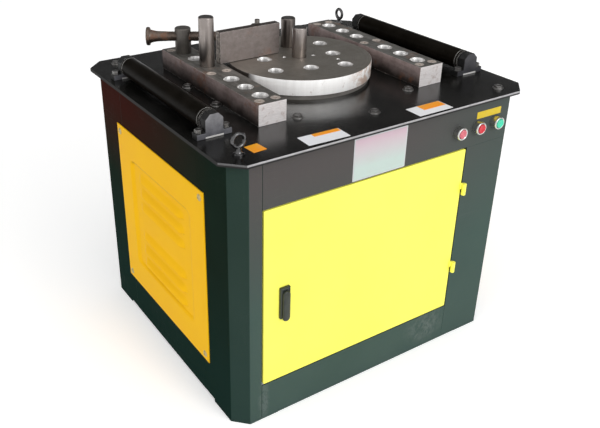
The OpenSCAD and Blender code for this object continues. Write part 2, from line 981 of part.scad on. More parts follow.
module eye_bolts() {
    color([0.72, 0.73, 0.75])
        for (place = eye_places)
            translate([place[0], place[1], table_h])
                rotate([0, 0, place[2]]) {
                    cylinder(h = eye_collar_h, r = eye_collar_r);
                    cylinder(h = eye_rise - eye_r, r = eye_neck_r);
                    translate([0, 0, -bolt_below])
                        cylinder(h = bolt_below, r = bolt_r);
                    translate([0, 0, eye_rise])
                        rotate([90, 0, 0])
                            rotate_extrude()
                                translate([eye_r, 0])
                                    circle(r = eye_wire, $fn = 32);
                }
}

// Rollers

// The front of a bearing block, on the table, with its upper corners cut
module bearing_block() {
    top = roller_rise + block_rise;
    polygon([
        [-block_w / 2, 0], [block_w / 2, 0], [block_w / 2, top - block_cut],
        [block_w / 2 - block_cut, top], [-block_w / 2 + block_cut, top], [-block_w / 2, top - block_cut]
    ]);
}

module bracket(x, y0, low_wall, high_wall) {
    difference() {
        union() {
            box(x - ear_w / 2, x + ear_w / 2, y0, y0 + block_d, table_h, table_h + ear_t);
            translate([x, y0 + block_d, table_h])
                rotate([90, 0, 0])
                    linear_extrude(block_d)
                        bearing_block();
        }
        along_y(x, y0 + low_wall, y0 + block_d - high_wall, roller_z, shaft_r + shaft_play);
        for (side = [-1, 1])
            upright(x + side * ear_bolt, y0 + block_d / 2, table_h - over,
                    table_h + ear_t + over, bracket_bolt_r + bolt_play);
    }
}

module roller_brackets() {
    color([0.45, 0.46, 0.48])
        for (side = [-1, 1]) {
            bracket(side * roller_x, roller_y0, bracket_wall, -over);
            bracket(side * roller_x, roller_y1 - block_d, -over, bracket_wall);
        }
}

module bracket_bolts() {
    color([0.6, 0.6, 0.6])
        for (side = [-1, 1], y0 = [roller_y0, roller_y1 - block_d], ear = [-1, 1])
            translate([side * roller_x + ear * ear_bolt, y0 + block_d / 2, table_h]) {
                upright(0, 0, 0, ear_t, bracket_bolt_r);
                hexagon(0, 0, ear_t, ear_t + bracket_head_h, bracket_head_r);
            }
}

module roller(x) {
    along_y(x, roller_y0 + block_d + roller_end, roller_y1 - block_d - roller_end, roller_z,
            roller_r);
    along_y(x, roller_y0 + bracket_wall + roller_end, roller_y1 - bracket_wall - roller_end, roller_z,
            shaft_r);
}

module roller_left() {
    color([0.07, 0.07, 0.07])
        roller(-roller_x);
}

module roller_right() {
    color([0.07, 0.07, 0.07])
        roller(roller_x);
}

// Working disc and its pins

module dust_ring() {
    color([0.1, 0.1, 0.1])
        difference() {
            upright(0, kit_y, table_h, disc_low - ring_gap, disc_r - ring_in);
            upright(0, kit_y, table_h - over, disc_low, disc_r - ring_in - ring_wall);
        }
}

module working_disc() {
    color([0.42, 0.39, 0.36])
        translate([0, kit_y, 0])
            difference() {
                upright(0, 0, disc_low, disc_top, disc_r);
                upright(0, 0, disc_low - over, disc_top + over, hole_r);
                for (i = [0:3]) {
                    disc_hole(inner_ring, rest_angle + 90 * i, disc_low - over, hole_r);
                    disc_hole(outer_ring, rest_angle - 45 + 90 * i, disc_low - over, hole_r);
                }
                for (i = [0, 1]) {
                    disc_hole(jack_ring, rest_angle + jack_turn + 180 * i, disc_top - jack_depth, jack_r);
                    disc_hole(jack_outer, rest_angle + jack_outer_turn + 180 * i,
                              disc_top - jack_depth, jack_r);
                }
            }
}

module disc_hole(ring, angle, z0, r) {
    upright(ring * cos(angle), ring * sin(angle), z0, disc_top + over, r);
}

module centre_pin() {
    color([0.5, 0.46, 0.43])
        tool_pin(0, kit_y, disc_low + touch, table_h + pin_rise, pin_r);
}

module bending_pin() {
    color([0.4, 0.37, 0.34])
        tool_pin(bend_x, bend_y, disc_low + touch, table_h + pin_rise, pin_r);
}

module stop_pin() {
    color([0.5, 0.47, 0.44])
        tool_pin(-bar_x, stop_pin_y, table_h + touch, table_h + stop_pin_rise, pin_r);
}

// Stop plate and adjusting screw. The screw's own frame starts at the swivel block and points
// back along the screw, away from the plate.

module from_swivel() {
    translate([-swivel_x, swivel_y, adjust_z])
        rotate([0, 0, adjust_yaw])
            rotate([0, -90, 0])
                children();
}

module screw_post() {
    color([0.3, 0.29, 0.27])
        difference() {
            union() {
                upright(-bar_x, post_y, table_h + touch, bar_top, pin_r);
                tool_pin(-bar_x, post_y, bar_top, bar_top + post_rise, post_r);
            }
            from_swivel()
                cylinder(h = 2 * adjust_run, r = adjust_r + touch);
        }
}

module adjusting_screw() {
    color([0.4, 0.28, 0.2])
        from_swivel() {
            translate([0, 0, -journal_in])
                cylinder(h = swivel_r + journal_in + neck_l, r = journal_r);
            translate([0, 0, swivel_r + neck_l])
                cylinder(h = adjust_run + head_out - swivel_r - neck_l, r = adjust_r);
            translate([0, 0, adjust_run + head_out - head_t / 2])
                cylinder(h = head_t, r = head_r);
        }
}

module stop_plate() {
    color([0.5, 0.45, 0.42])
        difference() {
            union() {
                box(plate_x0, plate_x1, plate_front, plate_back, plate_z0, plate_z1);
                for (z = [adjust_z - swivel_h / 2 - lug_play - lug_h,
                          adjust_z + swivel_h / 2 + lug_play]) {
                    box(-swivel_x - swivel_r, -swivel_x + swivel_r, plate_back, swivel_y,
                        z, z + lug_h);
                    upright(-swivel_x, swivel_y, z, z + lug_h, swivel_r);
                }
            }
            upright(-swivel_x, swivel_y, plate_z0 - over, plate_z1 + over,
                    trunnion_r + shaft_play);
            upright(-swivel_x, swivel_y, adjust_z - swivel_h / 2 - lug_play,
                    adjust_z + swivel_h / 2 + lug_play, swivel_r + touch);
        }
}

module swivel_block() {
    color([0.25, 0.24, 0.23])
        difference() {
            union() {
                upright(-swivel_x, swivel_y, adjust_z - swivel_h / 2, adjust_z + swivel_h / 2,
                        swivel_r - touch);
                upright(-swivel_x, swivel_y, adjust_z - swivel_h / 2 - lug_h,
                        plate_z1 + lug_h / 2, trunnion_r);
            }
            from_swivel()
                translate([0, 0, -journal_in - touch])
                    cylinder(h = 2 * swivel_r, r = journal_r + shaft_play);
        }
}

// Gearbox

module gearbox_cover() {
    color([0.25, 0.33, 0.38])
        difference() {
            box(-mount_x, mount_x, kit_y - mount_y, kit_y + mount_y, cover_plate_z, cab_z1);
            upright(0, kit_y, cover_plate_z - over, cab_z1 + over, bearing_r + press);
            for (place = bolt_places)
                upright(place[0], place[1], cover_plate_z - over, cab_z1 + over,
                        bolt_r + bolt_play);
        }
}

module gearbox_housing() {
    color([0.25, 0.33, 0.38])
        difference() {
            box(-box_x, box_x, box_y0, box_y1, box_z0, cover_plate_z);
            box(-box_x + box_t, box_x - box_t, box_y0 + box_t, box_y1 - box_t, box_z0 + box_t,
                cover_plate_z + over);
            upright(0, kit_y, box_z0 - over, box_z0 + box_t + over, bearing_r + press);
            along_x(-box_x - over, box_x + over, worm_y, worm_z, worm_bearing_r + press);
        }
}

// The shaft's flange carries the disc and closes its pin holes from below
module main_shaft() {
    color([0.6, 0.6, 0.62])
        union() {
            upright(0, kit_y, box_z0, disc_low, main_r);
            upright(0, kit_y, disc_low - flange_t, disc_low, flange_r);
        }
}

// The teeth are waves: the wheel's radius rises and falls once for each tooth
module worm_wheel() {
    steps = teeth * tooth_points;
    color([0.7, 0.55, 0.25])
        translate([0, kit_y, wheel_z0])
            difference() {
                linear_extrude(wheel_w)
                    polygon([
                        for (i = [0:steps - 1])
                            let (a = 360 * i / steps, r = wheel_r - tooth_a * cos(teeth * a))
                                [r * cos(a + 90), r * sin(a + 90)]
                    ]);
                upright(0, 0, -over, wheel_w + over, main_r + press);
            }
}

// The worm is an off-centre round carried round its axis, which makes a round-crested thread
module worm_shaft() {
    turns = worm_l / lead;
    color([0.62, 0.62, 0.64])
        union() {
            translate([-worm_l / 2, worm_y, worm_z])
                rotate([0, 90, 0])
                    rotate([0, 0, -90 - 180 * turns])
                        linear_extrude(worm_l, twist = -360 * turns,
                                       slices = ceil(turns * thread_steps), $fn = thread_sides)
                            translate([tooth_a, 0])
                                circle(r = worm_r);
            along_x(pulley_x - pulley_w / 2, box_x, worm_y, worm_z, worm_shaft_r);
        }
}

module bearings() {
    color([0.78, 0.78, 0.8]) {
        for (z = [[box_z0, box_z0 + box_t], [cover_plate_z, cab_z1]])
            difference() {
                upright(0, kit_y, z[0], z[1], bearing_r);
                upright(0, kit_y, z[0] - over, z[1] + over, main_r + shaft_play);
            }
        for (side = [0, 1])
            mirror([side, 0, 0])
                difference() {
                    along_x(box_x - box_t, box_x, worm_y, worm_z, worm_bearing_r);
                    along_x(box_x - box_t - over, box_x + over, worm_y, worm_z,
                            worm_shaft_r + shaft_play);
                }
    }
}

// Belt drive

module pulley(y, z, r, bore) {
    translate([pulley_x - pulley_w / 2, y, z])
        rotate([0, 90, 0])
            difference() {
                cylinder(h = pulley_w, r = r + rim_h);
                for (step = [-0.5, 0.5])
                    translate([0, 0, pulley_w / 2 + step * belt_step - groove_w / 2])
                        difference() {
                            cylinder(h = groove_w, r = r + rim_h + over);
                            translate([0, 0, -over])
                                cylinder(h = groove_w + 2 * over, r = r - belt_h / 2 - belt_gap);
                        }
                translate([0, 0, -over])
                    cylinder(h = pulley_w + 2 * over, r = bore + press);
            }
}

module driven_pulley() {
    color([0.35, 0.36, 0.37])
        pulley(worm_y, worm_z, big_r, worm_shaft_r);
}

module motor_pulley() {
    color([0.35, 0.36, 0.37])
        pulley(motor_my, motor_z, small_r, motor_shaft_r);
}

module belt_loop(out) {
    hull() {
        translate([worm_y, worm_z])
            circle(r = big_r + out);
        translate([motor_my, motor_z])
            circle(r = small_r + out);
    }
}

module drive_belts() {
    color([0.08, 0.08, 0.08])
        for (step = [-0.5, 0.5])
            translate([pulley_x + step * belt_step - belt_w / 2, 0, 0])
                rotate([90, 0, 90])
                    linear_extrude(belt_w)
                        difference() {
                            belt_loop(belt_h / 2);
                            belt_loop(-belt_h / 2);
                        }
}

// Motor

module motor_frame() {
    color([0.3, 0.36, 0.42])
        difference() {
            union() {
                along_x(motor_x0, motor_x1, motor_my, motor_z, motor_r);
                for (i = [0:fin_count - 1])
                    translate([motor_x0, motor_my, motor_z])
                        rotate([360 * i / fin_count, 0, 0])
                            translate([end_in, -fin_t / 2, motor_bore])
                                cube([motor_l - 2 * end_in, fin_t, motor_r + fin_h - motor_bore]);
                box(motor_x0 + motor_l / 2 - pad_w / 2, motor_x0 + motor_l / 2 + pad_w / 2,
                    motor_my - pad_w / 2, motor_my + pad_w / 2, motor_z + motor_bore,
                    motor_z + pad_h);
                for (x = [motor_x0 + rail_in, motor_x1 - rail_in], side = [-1, 1])
                    box(x - rail_w / 2, x + rail_w / 2, motor_my + side * motor_r - rail_w / 2,
                        motor_my + side * motor_r + rail_w / 2, rail_z + rail_h,
                        motor_z - foot_drop);
            }
            along_x(motor_x0 - over, motor_x1 + over, motor_my, motor_z, motor_bore);
        }
}

module motor_shields() {
    color([0.3, 0.36, 0.42])
        for (x = [motor_x0 - shield_t, motor_x1])
            difference() {
                along_x(x, x + shield_t, motor_my, motor_z, shield_r);
                along_x(x - over, x + shield_t + over, motor_my, motor_z,
                        motor_shaft_r + shaft_play);
            }
}

module motor_rotor() {
    fan_x = motor_x1 + shield_t + fan_l / 4;
    color([0.6, 0.6, 0.62])
        union() {
            along_x(motor_x0 + end_in, motor_x1 - end_in, motor_my, motor_z, motor_bore - air_gap);
            along_x(pulley_x - pulley_w / 2, fan_x + fan_l / 2, motor_my, motor_z, motor_shaft_r);
            along_x(fan_x, fan_x + fan_l / 2, motor_my, motor_z, fan_hub_r);
            for (i = [0:5])
                translate([fan_x, motor_my, motor_z])
                    rotate([60 * i, 0, 0])
                        translate([0, -fin_t / 2, motor_shaft_r])
                            cube([fan_l / 2, fin_t, shield_r - fan_wall - blade_gap - motor_shaft_r]);
        }
}

module fan_cover() {
    x0 = motor_x1 + shield_t;
    color([0.25, 0.3, 0.35])
        difference() {
            along_x(x0, x0 + fan_l, motor_my, motor_z, shield_r);
            along_x(x0 - over, x0 + fan_l - fan_wall, motor_my, motor_z, shield_r - fan_wall);
            for (i = [0:11])
                translate([x0, motor_my, motor_z])
                    rotate([30 * i, 0, 0])
                        translate([fan_l / 2, -slot_w / 2, slot_in])
                            cube([fan_l, slot_w, slot_l]);
        }
}

module terminal_box() {
    x = motor_x0 + motor_l / 2;
    color([0.28, 0.33, 0.38])
        box(x - pad_w / 2, x + pad_w / 2, motor_my - pad_w / 2, motor_my + pad_w / 2,
            motor_z + pad_h, motor_z + pad_h + pad_w / 2);
}

module motor_rails() {
    color([0.2, 0.21, 0.22])
        for (x = [motor_x0 + rail_in, motor_x1 - rail_in])
            box(x - rail_w / 2, x + rail_w / 2, motor_my - rail_l / 2, motor_my + rail_l / 2,
                rail_z, rail_z + rail_h);
}

// Wiring

module control_box() {
    y1 = cab_y - sheet_t;
    color([0.75, 0.76, 0.74])
        difference() {
            box(control_x0, control_x0 + control_w, y1 - control_d, y1, control_z,
                control_z + control_h);
            box(control_x0 + control_t, control_x0 + control_w - control_t, y1 - control_d - over,
                y1 - control_t, control_z + control_t, control_z + control_h - control_t);
        }
}

module control_lid() {
    y1 = cab_y - sheet_t - control_d;
    color([0.78, 0.79, 0.77])
        box(control_x0, control_x0 + control_w, y1 - control_t, y1, control_z,
            control_z + control_h);
}

module cable_gland() {
    color([0.1, 0.1, 0.1])
        difference() {
            union() {
                along_y(gland_x, cab_y - sheet_t - gland_l, cab_y, gland_z, gland_r);
                along_y(gland_x, cab_y, cab_y + gland_l, gland_z, gland_nut_r);
                along_y(gland_x, cab_y + gland_l, cab_y + 2 * gland_l, gland_z, gland_r);
            }
            along_y(gland_x, cab_y - sheet_t - gland_l - over, cab_y + 2 * gland_l + over,
                    gland_z, gland_bore);
        }
}

table_plate();
post_front_left();
post_front_right();
back_posts();
front_top_rail();
front_bottom_rail();
side_rails();
back_panel();
base_beams();
feet();
left_cover();
right_cover();
cover_screws();
hinge_posts();
door();
door_hinges();
latch_base();
latch_lever();
latch_cam();
button_collars();
stop_button();
start_button();
lamp_lens();
contact_blocks();
table_bolts();
eye_bolts();
bar_left();
bar_right();
bar_screws();
roller_brackets();
bracket_bolts();
roller_left();
roller_right();
dust_ring();
working_disc();
centre_pin();
bending_pin();
stop_pin();
screw_post();
adjusting_screw();
stop_plate();
swivel_block();
gearbox_cover();
gearbox_housing();
main_shaft();
worm_wheel();
worm_shaft();
bearings();
driven_pulley();
motor_pulley();
drive_belts();
motor_frame();
motor_shields();
motor_rotor();
fan_cover();
terminal_box();
motor_rails();
control_box();
control_lid();
cable_gland();
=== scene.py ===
import math
from functools import partialmethod

import bmesh
import bpy
import numpy as np
from mathutils import Matrix, Vector


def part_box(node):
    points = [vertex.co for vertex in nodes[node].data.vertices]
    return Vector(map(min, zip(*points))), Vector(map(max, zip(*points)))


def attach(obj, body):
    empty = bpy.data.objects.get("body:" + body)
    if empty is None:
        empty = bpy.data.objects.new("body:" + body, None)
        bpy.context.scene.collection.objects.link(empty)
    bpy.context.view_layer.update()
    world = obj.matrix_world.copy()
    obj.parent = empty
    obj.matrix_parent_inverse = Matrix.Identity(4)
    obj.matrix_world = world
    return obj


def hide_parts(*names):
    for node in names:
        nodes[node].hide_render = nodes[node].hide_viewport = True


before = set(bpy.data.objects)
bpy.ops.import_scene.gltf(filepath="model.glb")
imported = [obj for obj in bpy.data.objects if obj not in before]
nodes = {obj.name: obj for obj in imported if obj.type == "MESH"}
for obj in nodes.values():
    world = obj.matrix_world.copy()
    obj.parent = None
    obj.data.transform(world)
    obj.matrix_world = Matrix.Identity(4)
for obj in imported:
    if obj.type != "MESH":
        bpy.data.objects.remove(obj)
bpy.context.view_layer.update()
print("frame loaded:", len(nodes), "nodes")

# Shader sums: a wire is an output of a shader node, and a sum of wires adds a node to their tree


class Wire:
    def __init__(self, tree, socket):
        self.tree, self.socket = tree, socket

    def to(self, socket):
        self.tree.links.new(self.socket, socket)

    def sums(self, operation, other=0, swapped=False, clamp=False):
        pair = (other, self) if swapped else (self, other)
        return put(self.tree, "Math", dict(enumerate(pair)), operation=operation, use_clamp=clamp)

    __add__ = partialmethod(sums, "ADD")
    __sub__ = partialmethod(sums, "SUBTRACT")
    __rsub__ = partialmethod(sums, "SUBTRACT", swapped=True)
    __mul__ = partialmethod(sums, "MULTIPLY")
    __truediv__ = partialmethod(sums, "DIVIDE")
    __gt__ = partialmethod(sums, "GREATER_THAN")
    __lt__ = partialmethod(sums, "LESS_THAN")
    __abs__ = partialmethod(sums, "ABSOLUTE")
    most = partialmethod(sums, "MAXIMUM")

    def remap(self, low, high, toLow=0, toHigh=1):
        return put(self.tree, "MapRange", {0: self, 1: low, 2: high, 3: toLow, 4: toHigh})

    # a noise's usual range
    def spread(self, toLow=0, toHigh=1):
        return self.remap(0.3, 0.7, toLow, toHigh)

    # the wire as a mask: a where it is 0, b where it is 1
    def tone(self, a, b, blend="MIX"):
        return put(self.tree, "Mix", {0: self, 6: a, 7: b}, 2, data_type="RGBA", blend_type=blend)

    def value(self, a, b):
        return put(self.tree, "Mix", {0: self, 2: a, 3: b}, data_type="FLOAT")

    def noise(self, scale, detail=3, rough=0.5):
        values = {"Vector": self, "Scale": scale, "Detail": detail, "Roughness": rough}
        return put(self.tree, "TexNoise", values, "Fac")

    def stretched(self, scale, turn):
        return put(self.tree, "Mapping", {"Vector": self, "Scale": scale, "Rotation": turn})

    def vector(self, operation, *others, out="Value"):
        return put(self.tree, "VectorMath", dict(enumerate((self, *others))), out, operation=operation)

    def xyz(self):
        apart = put(self.tree, "SeparateXYZ", {0: self}).socket.node
        return [Wire(self.tree, out) for out in apart.outputs]

    def bump(self, strength, distance=0.0004):
        return put(self.tree, "Bump", {"Height": self, "Strength": strength, "Distance": distance})


# a plain value is set, and a tone gets full alpha
def fill(socket, value):
    socket.default_value = (*value, 1) if socket.type == "RGBA" else value


def put(tree, kind, values=None, out=0, **traits):
    made = tree.nodes.new("ShaderNode" + kind)
    for trait, value in traits.items():
        setattr(made, trait, value)
    for key, value in (values or {}).items():
        if isinstance(value, Wire):
            value.to(made.inputs[key])
        else:
            fill(made.inputs[key], value)
    return Wire(tree, made.outputs[out])


def combine(tree, *values):
    return put(tree, "CombineXYZ", dict(enumerate(values)))


def spot(tree):
    return put(tree, "TexCoord", None, "Object")


def noise(tree, *how):
    return spot(tree).noise(*how)


def facing(tree):
    return put(tree, "TexCoord", None, "Normal").xyz()


def newFinish(name, **fixed):
    material = bpy.data.materials.new(name)
    material.use_nodes = True
    shader = material.node_tree.nodes["Principled BSDF"].inputs
    for key, value in fixed.items():
        fill(shader[key.replace("_", " ")], value)
    return material, material.node_tree, shader


def addObject(name, data):
    obj = bpy.data.objects.new(name, data)
    bpy.context.scene.collection.objects.link(obj)
    return obj


# Camera, floor and light

white = (1, 1, 1)
cameraSet = dict(eye=(-1.0448, -1.4627, 1.2998), forward=(0.4759, 0.7445, -0.4682), tilt=0.0031, lens=45.92,
                 sensor=36, shiftX=0.0642, shiftY=-0.0376, clipEnd=100)
lampSet = dict(place=(0.3, -3.6, 2.2), target=(0, 0, 0.45), watts=48, size=1.8)
floorSet = dict(size=40, tone=(0.92, 0.92, 0.915), glow=0.32)
studioSet = dict(frontGlow=1.12, backGlow=0.07, upGlow=1.1, rimGlow=0.95, brightSide=(-0.55, -0.835, 0))


# the floor looks white to the eye and in steel, and lights the part no more for it
def makeFloor(size, tone, glow):
    h = size / 2
    mesh = bpy.data.meshes.new("floor")
    mesh.from_pydata([(-h, -h, 0), (h, -h, 0), (h, h, 0), (-h, h, 0)], [], [(0, 1, 2, 3)])
    floor = addObject("floor", mesh)
    material, tree, shader = newFinish("paleFloor", Base_Color=tone, Roughness=0.9, Specular_IOR_Level=0.1,
                                       Emission_Color=white)
    rays = [put(tree, "LightPath", None, f"Is {kind} Ray") for kind in ("Camera", "Glossy", "Transmission")]
    seen = (rays[0] + rays[1]).sums("ADD", rays[2], clamp=True)
    (seen * glow).to(shader["Emission Strength"])
    mesh.materials.append(material)


# the studio is white overhead and along the floor's far rim, bright at the front and left, dim behind and at the right
def makeStudio(frontGlow, backGlow, upGlow, rimGlow, brightSide):
    world = bpy.data.worlds.new("studio")
    bpy.context.scene.world = world
    world.use_nodes = True
    tree = world.node_tree
    way = put(tree, "TexCoord", None, "Generated")
    low = way.vector("DOT_PRODUCT", brightSide).remap(-0.3, 0.3, backGlow, frontGlow)
    high = way.xyz()[2]
    low = high.remap(0.2, 0.1).value(low, rimGlow)
    background = tree.nodes["Background"].inputs
    fill(background["Color"], white)
    high.remap(0.7, 0.92).value(low, upGlow).to(background["Strength"])


def makeLamp(place, target, watts, size):
    lamp = bpy.data.lights.new("keyLamp", "AREA")
    lamp.energy, lamp.shape, lamp.size = watts, "DISK", size
    obj = addObject("keyLamp", lamp)
    obj.location = place
    obj.rotation_euler = (Vector(target) - Vector(place)).to_track_quat("-Z", "Y").to_euler()


def makeCamera(eye, forward, tilt, lens, sensor, shiftX, shiftY, clipEnd):
    data = bpy.data.cameras.new("photoCamera")
    data.lens, data.sensor_fit, data.sensor_width = lens, "HORIZONTAL", sensor
    data.shift_x, data.shift_y, data.clip_end = shiftX, shiftY, clipEnd
    back = -Vector(forward).normalized()
    right = Vector((0, 0, 1)).cross(back).normalized()
    right = (right + Vector((0, 0, tilt))).normalized()
    up = back.cross(right).normalized()
    turn = Matrix((up.cross(back), up, back)).transposed().to_4x4()
    camera = addObject("photoCamera", data)
    camera.matrix_world = Matrix.Translation(Vector(eye)) @ turn
    bpy.context.scene.camera = camera


bpy.context.scene.view_settings.view_transform = "Standard"
makeFloor(**floorSet)
makeStudio(**studioSet)
makeLamp(**lampSet)
makeCamera(**cameraSet)
print("camera and light set")

# Shared effects, each one a node group


def newGroup(name, given, *made):
    group = bpy.data.node_groups.new(name, "ShaderNodeTree")
    for label, value in given.items():
        group.interface.new_socket(label, in_out="INPUT", socket_type="NodeSocketFloat").default_value = value
    for label in made:
        kind = "NodeSocketColor" if label == "Tone" else "NodeSocketFloat"
        group.interface.new_socket(label, in_out="OUTPUT", socket_type=kind)
    start = group.nodes.new("NodeGroupInput").outputs
    return group, {label: Wire(group, start[label]) for label in given}, group.nodes.new("NodeGroupOutput").inputs


# worn corners: where a rounded normal leaves the true one, broken up by a noise
def makeEdgeWear():
    tree, given, made = newGroup("edgeWear", dict(Width=0.002, Patch=60, Amount=0.5), "Mask")
    rounded = put(tree, "Bevel", {"Radius": given["Width"]}, samples=6)
    plain = put(tree, "NewGeometry", None, "Normal")
    corner = (1 - rounded.vector("DOT_PRODUCT", plain)).remap(0.01, 0.16)
    bare = (noise(tree, given["Patch"], 6, 0.65) + given["Amount"]).remap(0.85, 1.1)
    (corner * bare).to(made["Mask"])
    return tree


# dust lies on what faces up, thicker where a slow noise is high
def makeDust():
    tree, given, made = newGroup("settledDust", dict(Scale=25, Amount=0.3), "Mask")
    up = facing(tree)[2].remap(0.5, 0.95)
    cloud = noise(tree, given["Scale"], 6, 0.6)
    speck = noise(tree, 900, 2).remap(0.45, 0.75)
    film = cloud.remap(0.35, 0.75) * (speck + 0.35)
    (up * film).sums("MULTIPLY", given["Amount"], clamp=True).to(made["Mask"])
    return tree


# hair scratches: thin bands of three stretched noises that cross at an angle, kept in patches
def makeScratches():
    tree, given, made = newGroup("hairScratches", dict(Scale=10, Amount=0.5), "Mask")
    lines = []
    for turn, long in ((0.6, (0.25, 22, 9)), (-0.9, (14, 0.3, 19)), (0.2, (20, 11, 0.4))):
        band = spot(tree).stretched(long, (turn, 0.7 * turn, 1.3 * turn)).noise(given["Scale"], 1)
        lines.append(abs(band - 0.5).remap(0, 0.006, 1, 0))
    patch = noise(tree, 6, 2).remap(0.5, 0.66)
    (lines[0].most(lines[1]).most(lines[2]) * patch * given["Amount"]).to(made["Mask"])
    return tree


# rust: a ragged threshold of layered noise, with a fine two-tone colour
def makeRust():
    tree, given, made = newGroup("rustBloom", dict(Scale=12, Amount=0.3), "Mask", "Tone")
    broad, fine = noise(tree, given["Scale"], 8, 0.7), noise(tree, 420, 3)
    edge = 0.8 - given["Amount"] * 0.45
    (broad * 0.85 + fine * 0.15 - edge).remap(-0.06, 0.1).to(made["Mask"])
    fine.tone((0.1, 0.035, 0.014), (0.3, 0.12, 0.05)).to(made["Tone"])
    return tree


# sprayed paint: a low ripple of two noises, as height
def makeSpray():
    tree, given, made = newGroup("sprayRipple", dict(Scale=500), "Height")
    (noise(tree, given["Scale"], 1) + noise(tree, 30, 1) * 2).to(made["Height"])
    return tree


# tool marks in straight lines along one axis: noise stretched along it
def makeGrain():
    tree, given, made = newGroup("toolGrain", dict(AlongX=1, AlongY=1, AlongZ=1), "Value")
    line = spot(tree).vector("MULTIPLY", combine(tree, *given.values()), out=0)
    line.noise(1, 5, 0.65).to(made["Value"])
    return tree


# lathe rings: noise of the distance from an upright axis
def makeRings():
    tree, given, made = newGroup("latheRings", dict(CentreX=0, CentreY=0.004, Scale=900), "Value", "Distance")
    x, y, _ = spot(tree).xyz()
    span = combine(tree, x - given["CentreX"], y - given["CentreY"]).vector("LENGTH")
    combine(tree, span).noise(given["Scale"], 3, 0.6).to(made["Value"])
    span.to(made["Distance"])
    return tree


edgeWear, settledDust, hairScratches = makeEdgeWear(), makeDust(), makeScratches()
rustBloom, sprayRipple, toolGrain, latheRings = makeRust(), makeSpray(), makeGrain(), makeRings()
print("effects made")

# Finishes


def effect(tree, group, **values):
    made = tree.nodes.new("ShaderNodeGroup")
    made.node_tree = group
    for key, value in values.items():
        made.inputs[key].default_value = value
    return {out.name: Wire(tree, out) for out in made.outputs}


def wornAt(tree, width, patch, amount):
    return effect(tree, edgeWear, Width=width, Patch=patch, Amount=amount)["Mask"]


def rustAt(tree, scale, amount):
    made = effect(tree, rustBloom, Scale=scale, Amount=amount)
    return made["Mask"], made["Tone"]


def grainAlong(tree, x, y, z):
    return effect(tree, toolGrain, AlongX=x, AlongY=y, AlongZ=z)["Value"]


def joined(tree, socket):
    return Wire(tree, socket.links[0].from_socket)


# the cabinet: one dark paint; the door side glossier, painted lighter and greener as a painted sheen, with a grey top
# rail and rubbed patches, the left side in the dark tone, browned high up at the back, and the back and right painted
# lighter than the left as painted light
def cabinetCoats(tree, cloud, tone, look):
    (x, y, z), (outX, outY, _) = spot(tree).xyz(), facing(tree)
    tone = z.remap(0.4, 0.12).tone(tone, look["lowTone"])
    brown = z.remap(0.4, 0.61) * y.remap(-0.26, 0.16) * outY.remap(0.5, 0.2)
    tone = brown.tone(tone, look["underTable"])
    # back and right sides painted lighter than the left: painted light
    tone = outX.remap(-0.2, -0.6).tone(cloud.tone(*look["back"]), tone)
    rail = z.remap(0.3, 0.61) * outY.remap(-0.85, -0.97) * x.remap(0.02, 0.36, 1, 0.5)
    # the door side painted lighter and greener: a painted sheen
    frontSheenCoat = rail.tone(cloud.tone(*look["front"]), look["frontRail"])
    # rubbed patches: an ellipse about (atX, atZ), broken into streaks
    for atX, atZ, spanX, spanZ, amount in look["scuffs"]:
        near = combine(tree, (x - atX) / spanX, (z - atZ) / spanZ).vector("LENGTH").remap(1, 0.1)
        streak = spot(tree).stretched((20, 1, 14), (0, 0.7, 0)).noise(4, 7, 0.75)
        frontSheenCoat = (near * streak.remap(0.4, 0.7, 0, amount)).tone(frontSheenCoat, look["scuffTone"])
    front = outY.remap(-0.55, -0.95)
    return front.tone(tone, frontSheenCoat), front


# painted sheet or casting: two close tones, a sprayed skin, worn corners, dust and scratches
def paintFinish(name, tones, scratchTone, wearTone, gloss=0.2, mottle=30, rough=0.5, ripple=0.2,
                rippleScale=450, scratch=0.2, dust=0.4, wear=0.3, wearWidth=0.0016, downFacingShadeTone=None, coats=None,
                scratchScale=9, dustScale=22, dustTone=(0.32, 0.3, 0.27), wearPatch=70):
    material, tree, shader = newFinish(name, Specular_IOR_Level=gloss)
    cloud = noise(tree, mottle, 4, 0.6).spread()
    tone = cloud.tone(*tones)
    coarse = cloud.value(rough - 0.05, rough + 0.06)
    if coats:
        tone, front = cabinetCoats(tree, cloud, tone, coats)
        coarse = front.value(coats["sideRough"], coarse)
    if downFacingShadeTone:  # painted shade on what faces down
        tone = facing(tree)[2].remap(-0.15, -0.7).tone(tone, downFacingShadeTone)
    tone = effect(tree, hairScratches, Scale=scratchScale, Amount=scratch)["Mask"].tone(tone, scratchTone)
    dusty = effect(tree, settledDust, Scale=dustScale, Amount=dust)["Mask"]
    tone = dusty.tone(tone, dustTone)
    wornAt(tree, wearWidth, wearPatch, wear).tone(tone, wearTone).to(shader["Base Color"])
    dusty.value(coarse, 0.85).to(shader["Roughness"])
    effect(tree, sprayRipple, Scale=rippleScale)["Height"].bump(ripple).to(shader["Normal"])
    return material


